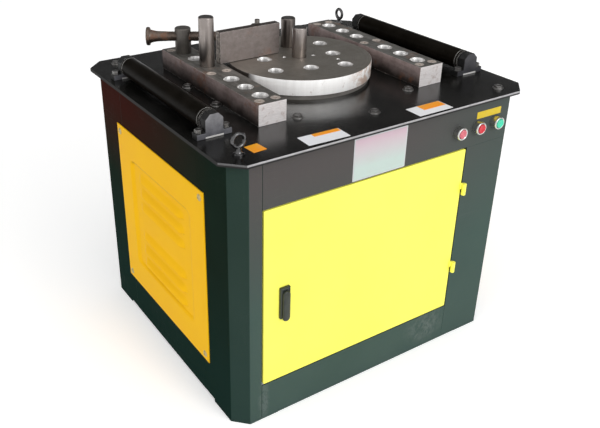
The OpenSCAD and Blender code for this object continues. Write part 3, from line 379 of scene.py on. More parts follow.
# bare steel: two tones along the tool marks, rust patches, brighter corners, up-facing faces darkened by painted
# shade, left-facing ends lightened by a painted highlight
def steelFinish(name, tones, wearTone, grain=(160, 160, 160), mottle=40, rough=0.4, rust=0.1,
                rustScale=60, wear=0.3, wearWidth=0.001, bump=0.1, metal=1, topShadeTone=None, litEndTone=None,
                wearPatch=90):
    material, tree, shader = newFinish(name, Metallic=1)
    lines = grainAlong(tree, *grain)
    cloud = noise(tree, mottle, 5, 0.62).spread()
    blend = lines.spread() * 0.55 + cloud * 0.45
    tone = blend.tone(*tones)
    # faces that point up painted darker: painted shade
    if topShadeTone:
        tone = facing(tree)[2].remap(0.8, 0.97).tone(tone, topShadeTone)
    # faces that point to -x painted lighter in ragged patches: bare cut steel with a painted highlight on the lit end
    if litEndTone:
        litEndPatches = facing(tree)[0].remap(-0.7, -0.9) * noise(tree, 170, 4).remap(0.4, 0.6)
        tone = litEndPatches.tone(tone, litEndTone)
    tone = wornAt(tree, wearWidth, wearPatch, wear).tone(tone, wearTone)
    rusty, rustTone = rustAt(tree, rustScale, rust)
    rusty.tone(tone, rustTone).to(shader["Base Color"])
    rusty.value(blend.value(rough + 0.08, rough - 0.08), 0.8).to(shader["Roughness"])
    (metal - rusty * (0.85 * metal)).to(shader["Metallic"])
    lines.bump(bump).to(shader["Normal"])
    return material


# moulded plastic: close tones with a fine sandy skin
def plasticFinish(name, tones, gloss=0.6, mottle=120, rough=0.22, skin=900, bump=0.05):
    material, tree, shader = newFinish(name, Specular_IOR_Level=gloss)
    cloud = noise(tree, mottle)
    cloud.spread().tone(*tones).to(shader["Base Color"])
    cloud.remap(0.2, 0.8, rough - 0.05, rough + 0.05).to(shader["Roughness"])
    noise(tree, skin, 2).bump(bump, 0.0003).to(shader["Normal"])
    return material


paintLooks = {
    "cabinetPaint": dict(
        tones=((0.0032, 0.0118, 0.0062), (0.0053, 0.0168, 0.0098)), gloss=0.06, mottle=5, rough=0.4, ripple=0.12,
        scratchTone=(0.12, 0.125, 0.12), dust=0.12, wear=0.2, wearWidth=0.0022, wearTone=(0.22, 0.23, 0.22),
        # front and back tones are lighter copies of the side tones: painted sheen and painted light
        coats=dict(front=((0.044, 0.076, 0.066), (0.053, 0.087, 0.076)), frontRail=(0.078, 0.071, 0.07),
                   back=((0.02, 0.036, 0.03), (0.028, 0.046, 0.039)), underTable=(0.033, 0.0045, 0.002),
                   lowTone=(0.0035, 0.0195, 0.0145), sideRough=0.9, scuffTone=(0.26, 0.27, 0.27),
                   scuffs=((0.17, 0.065, 0.08, 0.06, 0.45), (-0.325, 0.055, 0.018, 0.07, 0.5)))),
    "ringGrey": dict(
        tones=((0.1, 0.093, 0.085), (0.17, 0.16, 0.148)), ripple=0.3, scratchTone=(0.3, 0.29, 0.28), dust=0.2,
        wearWidth=0.001, wearTone=(0.4, 0.39, 0.38)),
    "framePaint": dict(
        tones=((0.012, 0.014, 0.014), (0.022, 0.025, 0.024)), gloss=0.15, mottle=8, scratch=0.3,
        scratchTone=(0.2, 0.2, 0.2), wearWidth=0.002, wearTone=(0.3, 0.29, 0.27)),
    # the same yellow paint as the covers, painted lighter and more lemon where it faces the front: painted light
    "doorYellowLit": dict(
        tones=((0.95, 0.91, 0.128), (0.98, 0.95, 0.145)), mottle=4, rough=0.36, ripple=0.1, scratch=0.08,
        scratchTone=(0.75, 0.68, 0.2), dust=0.1, wear=0.12, wearTone=(0.75, 0.62, 0.2)),
    "coverYellow": dict(
        tones=((0.97, 0.525, 0.009), (1, 0.565, 0.013)), downFacingShadeTone=(0.34, 0.14, 0.002), gloss=0.02, mottle=4,
        rough=0.36, ripple=0.1, scratch=0.08, scratchTone=(0.8, 0.55, 0.15), dust=0.05, wear=-0.3,
        wearTone=(0.7, 0.5, 0.2)),
    "rollerBlack": dict(
        tones=((0.0038, 0.003, 0.002), (0.007, 0.0056, 0.004)), gloss=0.03, rough=0.34, ripple=0.15, scratch=0.5,
        scratchTone=(0.05, 0.043, 0.036), dust=0.015, wear=0.6, wearTone=(0.45, 0.44, 0.42)),
    "gearCast": dict(
        tones=((0.03, 0.065, 0.085), (0.045, 0.09, 0.11)), gloss=0.4, mottle=18, ripple=0.8, rippleScale=260,
        scratch=0.15, scratchTone=(0.2, 0.25, 0.27), dust=0.45, wearWidth=0.003, wearTone=(0.2, 0.2, 0.2)),
    "motorGrey": dict(
        tones=((0.07, 0.1, 0.13), (0.1, 0.14, 0.17)), gloss=0.45, mottle=22, rough=0.45, ripple=0.6,
        rippleScale=300, scratch=0.15, scratchTone=(0.3, 0.32, 0.34), wear=0.25, wearTone=(0.4, 0.4, 0.4)),
    "boxGrey": dict(
        tones=((0.5, 0.51, 0.48), (0.56, 0.57, 0.54)), gloss=0.35, mottle=12, rough=0.55, ripple=0.4,
        rippleScale=700, scratch=0.1, scratchTone=(0.4, 0.4, 0.4), dust=0.3, wear=0.15, wearWidth=0.0014,
        wearTone=(0.35, 0.35, 0.34)),
    "beltRubber": dict(
        tones=((0.012, 0.012, 0.012), (0.022, 0.021, 0.02)), mottle=80, rough=0.75, ripple=0.6, rippleScale=600,
        scratchTone=(0.06, 0.06, 0.06), wearWidth=0.001, wearTone=(0.06, 0.055, 0.05)),
}
pinLook = dict(grain=(700, 700, 9), topShadeTone=(0.09, 0.075, 0.068), rustScale=30, wear=0.45, wearWidth=0.0018,
               bump=0.15)
zincLook = dict(mottle=120, wearWidth=0.0008, bump=0.08)
steelLooks = {
    "pinSteel": dict(
        pinLook, tones=((0.25, 0.22, 0.205), (0.39, 0.35, 0.33)), rough=0.3, rust=0.18, wearTone=(0.68, 0.66, 0.64)),
    "rearPinSteel": dict(
        pinLook, tones=((0.11, 0.094, 0.086), (0.2, 0.177, 0.165)), rough=0.34, rust=0.24,
        wearTone=(0.6, 0.57, 0.55)),
    "plateSteel": dict(
        tones=((0.22, 0.188, 0.175), (0.37, 0.325, 0.312)), grain=(60, 60, 90), mottle=60, rough=0.5,
        topShadeTone=(0.1, 0.08, 0.07), litEndTone=(0.8, 0.74, 0.68), rust=0.34, rustScale=16, wear=0.5, wearWidth=0.0024,
        wearTone=(0.66, 0.63, 0.6), bump=0.25),
    "screwSteel": dict(
        tones=((0.1, 0.075, 0.062), (0.2, 0.158, 0.132)), grain=(300, 300, 300), mottle=70, rough=0.48,
        rust=0.46, rustScale=40, wear=0.4, wearWidth=0.0012, wearTone=(0.55, 0.5, 0.46), bump=0.25),
    "postSteel": dict(
        tones=((0.12, 0.11, 0.1), (0.21, 0.195, 0.18)), grain=(420, 420, 14), mottle=50, rough=0.5,
        rust=0.3, rustScale=34, wear=0.35, wearWidth=0.0018, wearTone=(0.5, 0.47, 0.45), bump=0.2),
    "boltSteel": dict(
        tones=((0.11, 0.106, 0.102), (0.27, 0.262, 0.254)), mottle=90, rust=0.14, wear=0.5, wearWidth=0.0014,
        wearTone=(0.72, 0.71, 0.7)),
    "screwZinc": dict(
        zincLook, tones=((0.42, 0.33, 0.14), (0.68, 0.56, 0.26)), wearTone=(0.2, 0.15, 0.06), metal=0.35),
    "collarZinc": dict(
        zincLook, tones=((0.48, 0.41, 0.36), (0.68, 0.6, 0.54)), rough=0.36, rust=0, wear=0.2,
        wearTone=(0.8, 0.8, 0.8), metal=0.45),
    "eyeSteel": dict(
        tones=((0.055, 0.054, 0.056), (0.15, 0.148, 0.15)), mottle=90, rough=0.24, wearTone=(0.5, 0.5, 0.5),
        bump=0.08),
    "zincPlate": dict(
        zincLook, tones=((0.48, 0.475, 0.46), (0.7, 0.7, 0.69)), rough=0.3, rust=0.08, wear=0.2,
        wearTone=(0.8, 0.8, 0.8)),
    "shaftSteel": dict(
        tones=((0.5, 0.5, 0.51), (0.64, 0.64, 0.65)), grain=(700, 40, 40), rough=0.28, rustScale=30,
        wear=0.2, wearTone=(0.75, 0.75, 0.75)),
    "pulleyCast": dict(
        tones=((0.17, 0.17, 0.175), (0.3, 0.3, 0.305)), grain=(600, 60, 60), mottle=50, rough=0.45,
        rust=0.22, rustScale=26, wear=0.4, wearWidth=0.0016, wearTone=(0.6, 0.6, 0.6), bump=0.2),
    "wheelBronze": dict(
        tones=((0.5, 0.32, 0.1), (0.68, 0.47, 0.18)), grain=(90, 90, 300), rough=0.35, rust=0.02,
        rustScale=30, wearTone=(0.8, 0.6, 0.3)),
}
plasticLooks = {
    "latchBlack": dict(tones=((0.018, 0.023, 0.019), (0.031, 0.038, 0.032)), gloss=0.4, mottle=60, rough=0.42,
                       skin=1400, bump=0.25),
    "redPlastic": dict(tones=((0.5, 0.02, 0.032), (0.62, 0.033, 0.046)), gloss=0.25),
    "lampPink": dict(tones=((0.5, 0.07, 0.1), (0.66, 0.16, 0.2)), rough=0.18),
    "greenPlastic": dict(tones=((0.04, 0.55, 0.34), (0.07, 0.67, 0.43)), gloss=0.3),
    "contactGrey": dict(tones=((0.1, 0.105, 0.11), (0.15, 0.155, 0.16)), gloss=0.4, mottle=60, rough=0.5,
                        skin=1200, bump=0.2),
}
finish = {}
for make, looks in ((paintFinish, paintLooks), (steelFinish, steelLooks), (plasticFinish, plasticLooks)):
    finish.update({name: make(name, **look) for name, look in looks.items()})

drilledWall = ((0.62, 0.61, 0.6), (0.82, 0.81, 0.8))
barLook = dict(top=((0.12, 0.114, 0.103), (0.35, 0.34, 0.318)), end=((0.62, 0.59, 0.585), (0.84, 0.8, 0.795)),
               side=((0.22, 0.16, 0.15), (0.43, 0.34, 0.325)), sideFootShade=(0.018, 0.013, 0.011),
               wall=drilledWall, wearTone=(0.62, 0.58, 0.55),
               middleY=0.004, endY=0.2246, topZ=0.7201, halfSpan=0.2235, halfWidth=0.0347,
               scaleGrain=(90, 7, 90), sawGrain=(60, 20, 900), boreGrain=(40, 40, 500), rustSpread=(18, 0.42),
               fleckSpread=(85, 0.46), worn=(0.0026, 55, 0.45))


# bars: mill scale on the long sides, darkening towards their foot as painted shade, bright saw cuts at the ends,
# bright drilled walls
def barFinish(name, top, end, side, sideFootShade, wall, wearTone, middleY, endY, topZ, halfSpan, halfWidth, scaleGrain,
              sawGrain, boreGrain, rustSpread, fleckSpread, worn):
    material, tree, shader = newFinish(name, Metallic=1)
    x, y, z = spot(tree).xyz()
    atEnd = abs(y - middleY) > endY
    inWall = (abs(abs(x) - halfSpan) < halfWidth) * (z < topZ) * (1 - atEnd)
    cloud = noise(tree, 28, 6, 0.65)
    skin = (grainAlong(tree, *scaleGrain) * 0.5 + cloud * 0.5).remap(0.36, 0.64)
    onSide = abs(facing(tree)[0]).remap(0.6, 0.9) * (1 - inWall)
    # the long sides painted near black towards their foot: painted shade where they meet the table
    rise = (z + cloud * 0.03).remap(0.693, 0.734)
    tone = onSide.tone(skin.tone(*top), rise.tone(sideFootShade, skin.tone(*side)))
    rust, rustTone = rustAt(tree, *rustSpread)
    tone = wornAt(tree, *worn).tone(rust.tone(tone, rustTone), wearTone)
    saw = grainAlong(tree, *sawGrain)
    fleck, fleckTone = rustAt(tree, *fleckSpread)
    tone = atEnd.tone(tone, (fleck * 0.55).tone(saw.spread().tone(*end), fleckTone))
    bore = grainAlong(tree, *boreGrain).spread()
    inWall.tone(tone, bore.tone(*wall)).to(shader["Base Color"])
    clean = atEnd.most(inWall)
    rusty = rust * (1 - clean)
    rough = clean.value(skin.value(0.6, 0.46), saw.spread(0.34, 0.46))
    rusty.value(rough, 0.8).to(shader["Roughness"])
    dull = rusty.most(atEnd.most(onSide))  # scale, saw marks and rust scatter the light
    (1 - dull * 0.75).to(shader["Metallic"])
    atEnd.value(skin, saw * 0.6).bump(0.3).to(shader["Normal"])
    return material


discLook = dict(top=((0.235, 0.216, 0.19), (0.405, 0.375, 0.334)), rim=((0.84, 0.825, 0.81), (1, 0.995, 0.985)),
                wall=drilledWall, rimGapShade=(0.03, 0.024, 0.02), rimRust=(0.46, 0.29, 0.2),
                wearTone=(0.7, 0.68, 0.66), rimRadius=0.1744, topZ=0.7191, lowZ=0.6829,
                turnGrain=(14, 14, 700), streakGrain=(70, 70, 4), rustSpread=(20, 0.2), fleckSpread=(34, 0.36),
                worn=(0.0022, 50, 0.5))


# disc: browned turned face, bright turned rim with rust flecks and painted shade on its front-left part by the left
# bar, bright drilled walls
def discFinish(name, top, rim, wall, rimGapShade, rimRust, wearTone, rimRadius, topZ, lowZ, turnGrain, streakGrain,
               rustSpread, fleckSpread, worn):
    material, tree, shader = newFinish(name, Metallic=1)
    x, y, z = spot(tree).xyz()
    rings = effect(tree, latheRings, Scale=420)
    onRim = rings["Distance"] > rimRadius
    inWall = (z < topZ) * (z > lowZ) * (1 - onRim)
    cloud = noise(tree, 17, 6, 0.62)
    skin = (rings["Value"] * 0.45 + cloud * 0.55).remap(0.36, 0.64)
    rust, rustTone = rustAt(tree, *rustSpread)
    tone = rust.tone(skin.tone(*top), rustTone)
    turned, streak = grainAlong(tree, *turnGrain), grainAlong(tree, *streakGrain)
    blend = turned.spread() * 0.3 + streak.remap(0.32, 0.66) * 0.7
    fleck, fleckTone = rustAt(tree, *fleckSpread)
    edge = fleck.tone(blend.tone(*rim), fleckTone)
    # the rim's front-left part, facing the narrow gap to the left bar, painted dark: painted shade
    gapShade = (y + cloud * 0.02).remap(-0.05, -0.025) * x.remap(0, -0.05)
    bloom = x.remap(0.015, 0.06, 0, 0.75) * noise(tree, 60, 6, 0.7).remap(0.42, 0.56)
    tone = onRim.tone(tone, bloom.tone(gapShade.tone(edge, rimGapShade), rimRust))
    tone = inWall.tone(tone, turned.spread().tone(*wall))
    wornAt(tree, *worn).tone(tone, wearTone).to(shader["Base Color"])
    clean = onRim.most(inWall)
    rough = clean.value(skin.value(0.56, 0.42), turned.spread(0.32, 0.44))
    rusty = (rust * (1 - clean)).most(fleck * onRim)
    rusty.value(rough, 0.8).to(shader["Roughness"])
    dull = rusty.most(onRim)  # coarse turning and rust scatter the light
    (1 - dull * 0.93).to(shader["Metallic"])
    clean.value(rings["Value"], turned).bump(0.12).to(shader["Normal"])
    return material


tableLook = dict(
    edge=((0.4, 0.39, 0.4), (0.6, 0.59, 0.61)), polishAndReflectionTone=(0.27, 0.265, 0.26), sideRough=0.9,
    paint=dict(tones=((0.002, 0.002, 0.0018), (0.005, 0.0049, 0.0045)), gloss=0.6, mottle=9, rough=0.2,
               rippleScale=900, scratch=0.28, scratchTone=(0.12, 0.12, 0.12), dust=0.03, wear=0.06,
               wearWidth=0.0018, wearTone=(0.2, 0.195, 0.19)))


# table: satin black top, polished in front of the disc with a painted reflection of the rim, and the front-facing cut
# edges rubbed to the steel and lightened there by a painted highlight
def tableFinish(name, edge, polishAndReflectionTone, sideRough, paint):
    material = paintFinish(name, **paint)
    tree = material.node_tree
    shader = tree.nodes["Principled BSDF"].inputs
    (x, y, z), (_, outY, outZ) = spot(tree).xyz(), facing(tree)
    # upper half of the front-facing edges only: bare steel, lighter as a painted highlight
    bare = outY.remap(-0.62, -0.97) * z.remap(0.667, 0.669)
    bare = bare * noise(tree, 24, 6, 0.7).remap(0.3, 0.5, 0.7, 1)
    steel = grainAlong(tree, 30, 30, 500).spread().tone(*edge)
    # a lighter, metallic patch in front of the disc: rubbed paint and a painted reflection of the disc's rim
    near = effect(tree, latheRings)["Distance"].remap(0.3, 0.2)
    polishAndRimReflection = near * x.remap(0.03, -0.09) * y.remap(-0.06, -0.13) * outZ.remap(0.9, 0.99)
    painted = polishAndRimReflection.tone(joined(tree, shader["Base Color"]), polishAndReflectionTone)
    bare.tone(painted, steel).to(shader["Base Color"])
    (bare * 0.6).most(polishAndRimReflection).to(shader["Metallic"])
    outZ.remap(0.6, 0.95).value(sideRough, joined(tree, shader["Roughness"])).to(shader["Roughness"])
    return material


bracketLook = dict(
    topSideTones=((0.008, 0.008, 0.008), (0.02, 0.02, 0.02)), footZ=0.6765, rollerX=0.36, footHalf=0.021,
    footTone=(0.55, 0.54, 0.53), rightBracketShade=(0.28, 0.275, 0.285), lowDarkening=(0.5, 0.5, 0.53),
    paint=dict(tones=((0.15, 0.15, 0.16), (0.26, 0.26, 0.273)), gloss=0.25, mottle=60, ripple=0.7, rippleScale=320,
               scratch=0.25, scratchTone=(0.45, 0.45, 0.45), dust=0.25, wear=0.4, wearWidth=0.002,
               wearTone=(0.5, 0.5, 0.5)))


# roller brackets: grey cut faces, dark tops and sides, the right brackets darkened as painted shade, the cut faces
# darker towards the bottom, and a bright strip along the foot between the ears
def bracketFinish(name, topSideTones, footZ, rollerX, footHalf, footTone, rightBracketShade, lowDarkening, paint):
    material = paintFinish(name, **paint)
    tree = material.node_tree
    base = tree.nodes["Principled BSDF"].inputs["Base Color"]
    x, _, z = spot(tree).xyz()
    cut = abs(facing(tree)[1]).remap(0.6, 0.9)
    # dark tops and sides
    dark = noise(tree, 120, 5).spread().tone(*topSideTones)
    dark = wornAt(tree, 0.0018, 150, 0.42).tone(dark, paint["wearTone"])
    # the right brackets (x > 0) painted darker: painted shade
    grey = x.remap(-0.1, 0.1).tone(joined(tree, base), rightBracketShade, "MULTIPLY")
    # the cut faces darker towards the bottom
    grey = z.remap(0.712, 0.68).tone(grey, lowDarkening, "MULTIPLY")
    foot = (z < footZ) * (abs(abs(x) - rollerX) < footHalf)
    (foot * cut).tone(cut.tone(dark, grey), footTone).to(base)
    return material


finish["barSteel"] = barFinish("barSteel", **barLook)
finish["discSteel"] = discFinish("discSteel", **discLook)
finish["tableTop"] = tableFinish("tableTop", **tableLook)
finish["bracketCast"] = bracketFinish("bracketCast", **bracketLook)
print("finishes made:", len(finish))

# CAD nodes: finish and edge rounding in millimetres

dressed = {
    "cabinetPaint": {"post_front_left": 1.6, "post_front_right": 0.8, "back_posts": 1.6, "front_top_rail": 0.4,
                     "front_bottom_rail": 0.8, "side_rails": 1, "back_panel": 1, "feet": 0.5},
    "tableTop": {"table_plate": 0},
    "ringGrey": {"dust_ring": 0},
    "framePaint": {"base_beams": 2, "motor_rails": 1},
    "coverYellow": {"left_cover": 0, "right_cover": 0},
    "doorYellowLit": {"door": 0, "door_hinges": 0.6, "hinge_posts": 0.6},
    "zincPlate": {"cover_screws": 0, "latch_cam": 0.5, "button_collars": 0, "table_bolts": 0, "eye_bolts": 0,
                  "bracket_bolts": 0},
    "collarZinc": {"bar_screws": 0.3},
    "latchBlack": {"latch_base": 0, "latch_lever": 0, "cable_gland": 0.6},
    "redPlastic": {"stop_button": 0},
    "lampPink": {"lamp_lens": 0},
    "greenPlastic": {"start_button": 0},
    "contactGrey": {"contact_blocks": 1.2},
    "barSteel": {"bar_left": 1, "bar_right": 1},
    "discSteel": {"working_disc": 1},
    "pinSteel": {"centre_pin": 0.6, "stop_pin": 0.6},
    "rearPinSteel": {"bending_pin": 0.6},
    "postSteel": {"screw_post": 0.8, "swivel_block": 0.5},
    "screwSteel": {"adjusting_screw": 0},
    "plateSteel": {"stop_plate": 1},
    "bracketCast": {"roller_brackets": 1.4},
    "rollerBlack": {"roller_left": 0, "roller_right": 0},
    "gearCast": {"gearbox_cover": 2, "gearbox_housing": 3},
    "shaftSteel": {"main_shaft": 0.6, "worm_shaft": 0, "bearings": 0.6, "motor_rotor": 0},
    "wheelBronze": {"worm_wheel": 0},
    "pulleyCast": {"driven_pulley": 0.6, "motor_pulley": 0.6},
    "beltRubber": {"drive_belts": 0.6},
    "motorGrey": {"motor_frame": 0, "motor_shields": 1.5, "fan_cover": 0, "terminal_box": 2.5},
    "boxGrey": {"control_box": 0.5, "control_lid": 0.5},
}


def dressNode(name, material, edge):
    obj = nodes[name]
    obj.data.materials.clear()
    obj.data.materials.append(material)
    if edge:
        weld = obj.modifiers.new("weld", "WELD")
        weld.merge_threshold = 0.00001
        bevel = obj.modifiers.new("edges", "BEVEL")
        bevel.width = edge * 0.001
        bevel.segments = 2
        bevel.limit_method = "ANGLE"
        bevel.angle_limit = math.radians(35)
        bevel.use_clamp_overlap = False
        bevel.harden_normals = True


for finishName, members in dressed.items():
    for nodeName, edge in members.items():
        dressNode(nodeName, finish[finishName], edge)
print("nodes dressed:", sum(len(m) for m in dressed.values()))

# Surfaces: every new piece is a grid of points worked out at once, in millimetres


def sheetOf(points, wrapRows=False, wrapCols=False):
    rows, cols = points.shape[:2]
    i = np.arange(rows if wrapRows else rows - 1)[:, None]
    j = np.arange(cols if wrapCols else cols - 1)[None, :]
    nextI, nextJ = (i + 1) % rows, (j + 1) % cols
    corners = [i * cols + j, i * cols + nextJ, nextI * cols + nextJ, nextI * cols + j]
    return points.reshape(-1, 3), np.stack(corners, -1).reshape(-1, 4)


# turn local x, y, z into the part's frame: origin + x * across + y * up + z * out
def placed(points, origin, across, up, out):
    return np.asarray(origin) + points @ np.array([across, up, out], float)


# the across, up and out of each side
onTop, onFront = ((1, 0, 0), (0, 1, 0), (0, 0, 1)), ((1, 0, 0), (0, 0, 1), (0, -1, 0))
onLeft, onRight = ((0, -1, 0), (0, 0, 1), (-1, 0, 0)), ((0, 1, 0), (0, 0, 1), (1, 0, 0))
# the table's top and the cabinet's front
tableZ, frontY = 672, -349


def circle(steps):
    return np.linspace(0, 2 * np.pi, steps, endpoint=False)


# (r cos t, r sin t, h)
def polar(r, t, h):
    return np.stack(np.broadcast_arrays(r * np.cos(t), r * np.sin(t), h), -1)


# a profile of (radius, height) turned about the out axis
def turnedRings(profile, t):
    r, h = np.asarray(profile, float).T[..., None]
    return polar(r, t, h)


def turnedSheet(profile, origin, way, steps=48, wrap=False):
    return sheetOf(placed(turnedRings(profile, circle(steps)), origin, *way), wrap, True)


def rodSheet(radius, low, high, origin, way, steps):
    return turnedSheet([(0, low), (radius, low), (radius, high), (0, high)], origin, way, steps)


# a shaped face from its middle out to its rim, closed straight down to a flat foot
def capSheet(points, foot, origin, way):
    rim = points[-1:] * [1, 1, 0] + [0, 0, foot]
    return sheetOf(placed(np.concatenate([points, rim, rim * [0, 0, 1]]), origin, *way), False, True)


# a rounded rectangle drawn at each level of (inset, height), closed at both ends to its middle
def slabSheet(width, height, radius, levels, origin, way, steps=8):
    levels = np.asarray(levels, float)
    quarter = np.linspace(0, np.pi / 2, steps)
    t = np.concatenate([quarter + k * np.pi / 2 for k in range(4)])
    cornerX = np.repeat([1, -1, -1, 1], steps) * (width / 2 - radius)
    cornerY = np.repeat([1, 1, -1, -1], steps) * (height / 2 - radius)
    inset = levels[:, 0][:, None]
    r = np.maximum(radius - inset, 0.01)
    slide = np.maximum(inset - radius + 0.01, 0)
    x = cornerX - np.sign(cornerX) * slide + r * np.cos(t)
    y = cornerY - np.sign(cornerY) * slide + r * np.sin(t)
    points = np.stack([x, y, levels[:, 1][:, None] + 0 * t], -1)
    ends = [np.zeros((1, t.size, 3)) + [0, 0, h] for h in (levels[0, 1], levels[-1, 1])]
    return sheetOf(placed(np.concatenate([ends[0], points, ends[1]]), origin, *way), False, True)


# a hexagon head: six-sided radius h(t), top cut by a cone from r0, shallow dish in the middle
def hexHeadSheet(across, tall, origin, way, dish, turn):
    t = circle(72)
    flat = across * np.cos(np.pi / 6)
    hexagon = flat / np.cos((t + turn + np.pi / 6) % (np.pi / 3) - np.pi / 6)
    r = np.array([0, 0.3, 0.45, 0.52, 0.6, 0.72, 0.82, 0.88, 0.94, 1])[:, None] * hexagon
    z = tall - 0.55 * np.maximum(r - 0.93 * flat, 0) - dish * (1 - np.clip((r / flat - 0.45) / 0.12, 0, 1))
    return capSheet(polar(r, t, z), 0, origin, way)


# a low domed head with a cross pressed into it: z = dome(r) - cross(x, y)
def crossHeadSheet(radius, tall, origin, way, turn):
    t = circle(64)
    r = np.linspace(0, 1, 20)[:, None] * radius
    dome = tall * np.sqrt(np.clip(1 - (0.96 * r / radius) ** 4, 0, 1))
    x, y = np.abs(r * np.cos(t + turn)), np.abs(r * np.sin(t + turn))
    arm = np.minimum(np.clip((0.17 * radius - np.minimum(x, y)) / 0.4, 0, 1),
                     np.clip((0.62 * radius - np.maximum(x, y)) / 0.5, 0, 1))
    return capSheet(polar(r, t, dome - 0.65 * tall * arm), 0, origin, way)


def makePiece(name, parts, finishName, body, replaced=(), sharp=38):
    offsets = np.cumsum([0] + [len(p[0]) for p in parts])
    points = np.concatenate([p[0] for p in parts]) * 0.001
    faces = np.concatenate([p[1] + start for p, start in zip(parts, offsets)])
    mesh = bpy.data.meshes.new(name)
    mesh.from_pydata(points.tolist(), [], faces.tolist())
    shape = bmesh.new()
    shape.from_mesh(mesh)
    bmesh.ops.remove_doubles(shape, verts=shape.verts, dist=0.000002)
    bmesh.ops.dissolve_degenerate(shape, edges=shape.edges, dist=0.000001)
    bmesh.ops.recalc_face_normals(shape, faces=shape.faces)
    shape.to_mesh(mesh)
    shape.free()
    mesh.shade_smooth()
    mesh.set_sharp_from_angle(angle=math.radians(sharp))
    mesh.materials.append(finish[finishName])
    piece = addObject(name, mesh)
    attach(piece, body)
    if replaced:
        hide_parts(*replaced)


def millimetres(node):
    low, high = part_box(node)
    return np.array(low) * 1000, np.array(high) * 1000


def easing(x):
    x = np.clip(x, 0, 1)
    return x * x * (3 - 2 * x)


# Side covers

coverShape = dict(wallX=394, sheet=2.5, fieldInY=68, fieldInZ=75, fieldCorner=16, fieldDepth=5, wall=6,
                  louvreBand=84, louvrePitch=39, louvreTall=20, louvreLong=224, louvreOut=8.5, louvreEnd=26,
                  edge=1, edgeDrop=0.7)


def louvreMiddles(look):
    return [group * (look["louvreBand"] / 2 + i * look["louvrePitch"]) for group in (-1, 1) for i in range(3)]


# outward height over (y, z): sheet, less the pressed field inside a rounded rectangle,
# plus one hood for each louvre, steep at its lower lip and easing out at its top and ends
def coverHeight(y, z, width, tall, look):
    corner = look["fieldCorner"]
    dy = np.maximum(np.abs(y) - (width / 2 - look["fieldInY"]) + corner, 0)
    dz = np.maximum(np.abs(z) - (tall / 2 - look["fieldInZ"]) + corner, 0)
    high = look["sheet"] - look["fieldDepth"] * easing((corner - np.hypot(dy, dz)) / look["wall"])
    ends = np.clip((look["louvreLong"] / 2 - np.abs(y)) / look["louvreEnd"], 0, 1)
    for middle in louvreMiddles(look):
        rise = (z - middle) / look["louvreTall"] + 0.5
        hood = np.where(rise < 0, easing(1 + rise / 0.06), np.cos(np.clip(rise, 0, 1) * np.pi / 2) ** 1.3)
        high = high + look["louvreOut"] * hood * np.sqrt(np.clip(1 - (1 - ends) ** 2, 0, 1))
    rim = np.minimum(width / 2 - np.abs(y), tall / 2 - np.abs(z))
    return high - look["edgeDrop"] * (1 - easing(rim / look["edge"]))


# even steps over a length, with finer ones at both ends and where asked
def stepsOver(length, count, finer=()):
    ends = length / 2 - np.array([0.3, 0.7, 1])
    return np.unique(np.round(np.concatenate([np.linspace(-1, 1, count) * length / 2, ends, -ends, finer]), 3))


def coverPiece(name, node, side, look):
    low, high = millimetres(node)
    (_, width, tall), (_, middleY, middleZ) = high - low, (low + high) / 2
    lips = np.array(louvreMiddles(look)) - look["louvreTall"] / 2
    nearLips = lips[:, None] + [-1.3, -0.9, -0.5, -0.1, 0.3, 1]
    y, z = np.meshgrid(stepsOver(width, 81), stepsOver(tall, 141, nearLips.ravel()))
    outer = coverHeight(y, z, width, tall, look)
    faces = [np.stack([side * (look["wallX"] + out), middleY + y, middleZ + z], -1)
             for out in (outer, outer - look["sheet"])]
    rims = [np.concatenate([a[0, :-1], a[:-1, -1], a[-1, :0:-1], a[:0:-1, 0]]) for a in faces]
    parts = [sheetOf(faces[0]), sheetOf(faces[1]), sheetOf(np.stack(rims), False, True)]
    makePiece(name, parts, "coverYellow", "cabinet", (node,))


coverPiece("louvredCoverLeft", "left_cover", -1, coverShape)
coverPiece("louvredCoverRight", "right_cover", 1, coverShape)

coverScrewShape = dict(radius=6.5, tall=3, inset=17, washer=8.2, shank=3, seatX=396.5)


def coverScrews(radius, tall, inset, washer, shank, seatX):
    ring = [(0, -2.4), (shank, -2.4), (shank, -0.05), (washer, -0.05), (washer, 0.5), (washer - 0.4, 0.8), (0, 0.8)]
    parts = []
    for side, way, node in ((-1, onLeft, "left_cover"), (1, onRight, "right_cover")):
        low, high = millimetres(node)
        corners = [(y, z) for y in (low[1] + inset, high[1] - inset) for z in (low[2] + inset, high[2] - inset)]
        for k, (y, z) in enumerate(corners):
            seat = (side * seatX, y, z)
            parts += [crossHeadSheet(radius, tall, seat, way, 0.3 + 0.7 * k), turnedSheet(ring, seat, way, 40)]
    makePiece("coverScrewHeads", parts, "screwZinc", "cabinet", ("cover_screws",))


coverScrews(**coverScrewShape)
print("side covers made")

# Latch on the door

latchShape = dict(width=25.4, tall=80, thick=8, corner=1.6, topAbove=16, leverWide=18.6, leverLong=60, deep=6,
                  gap=0.3, spindle=6, plug=5.2)


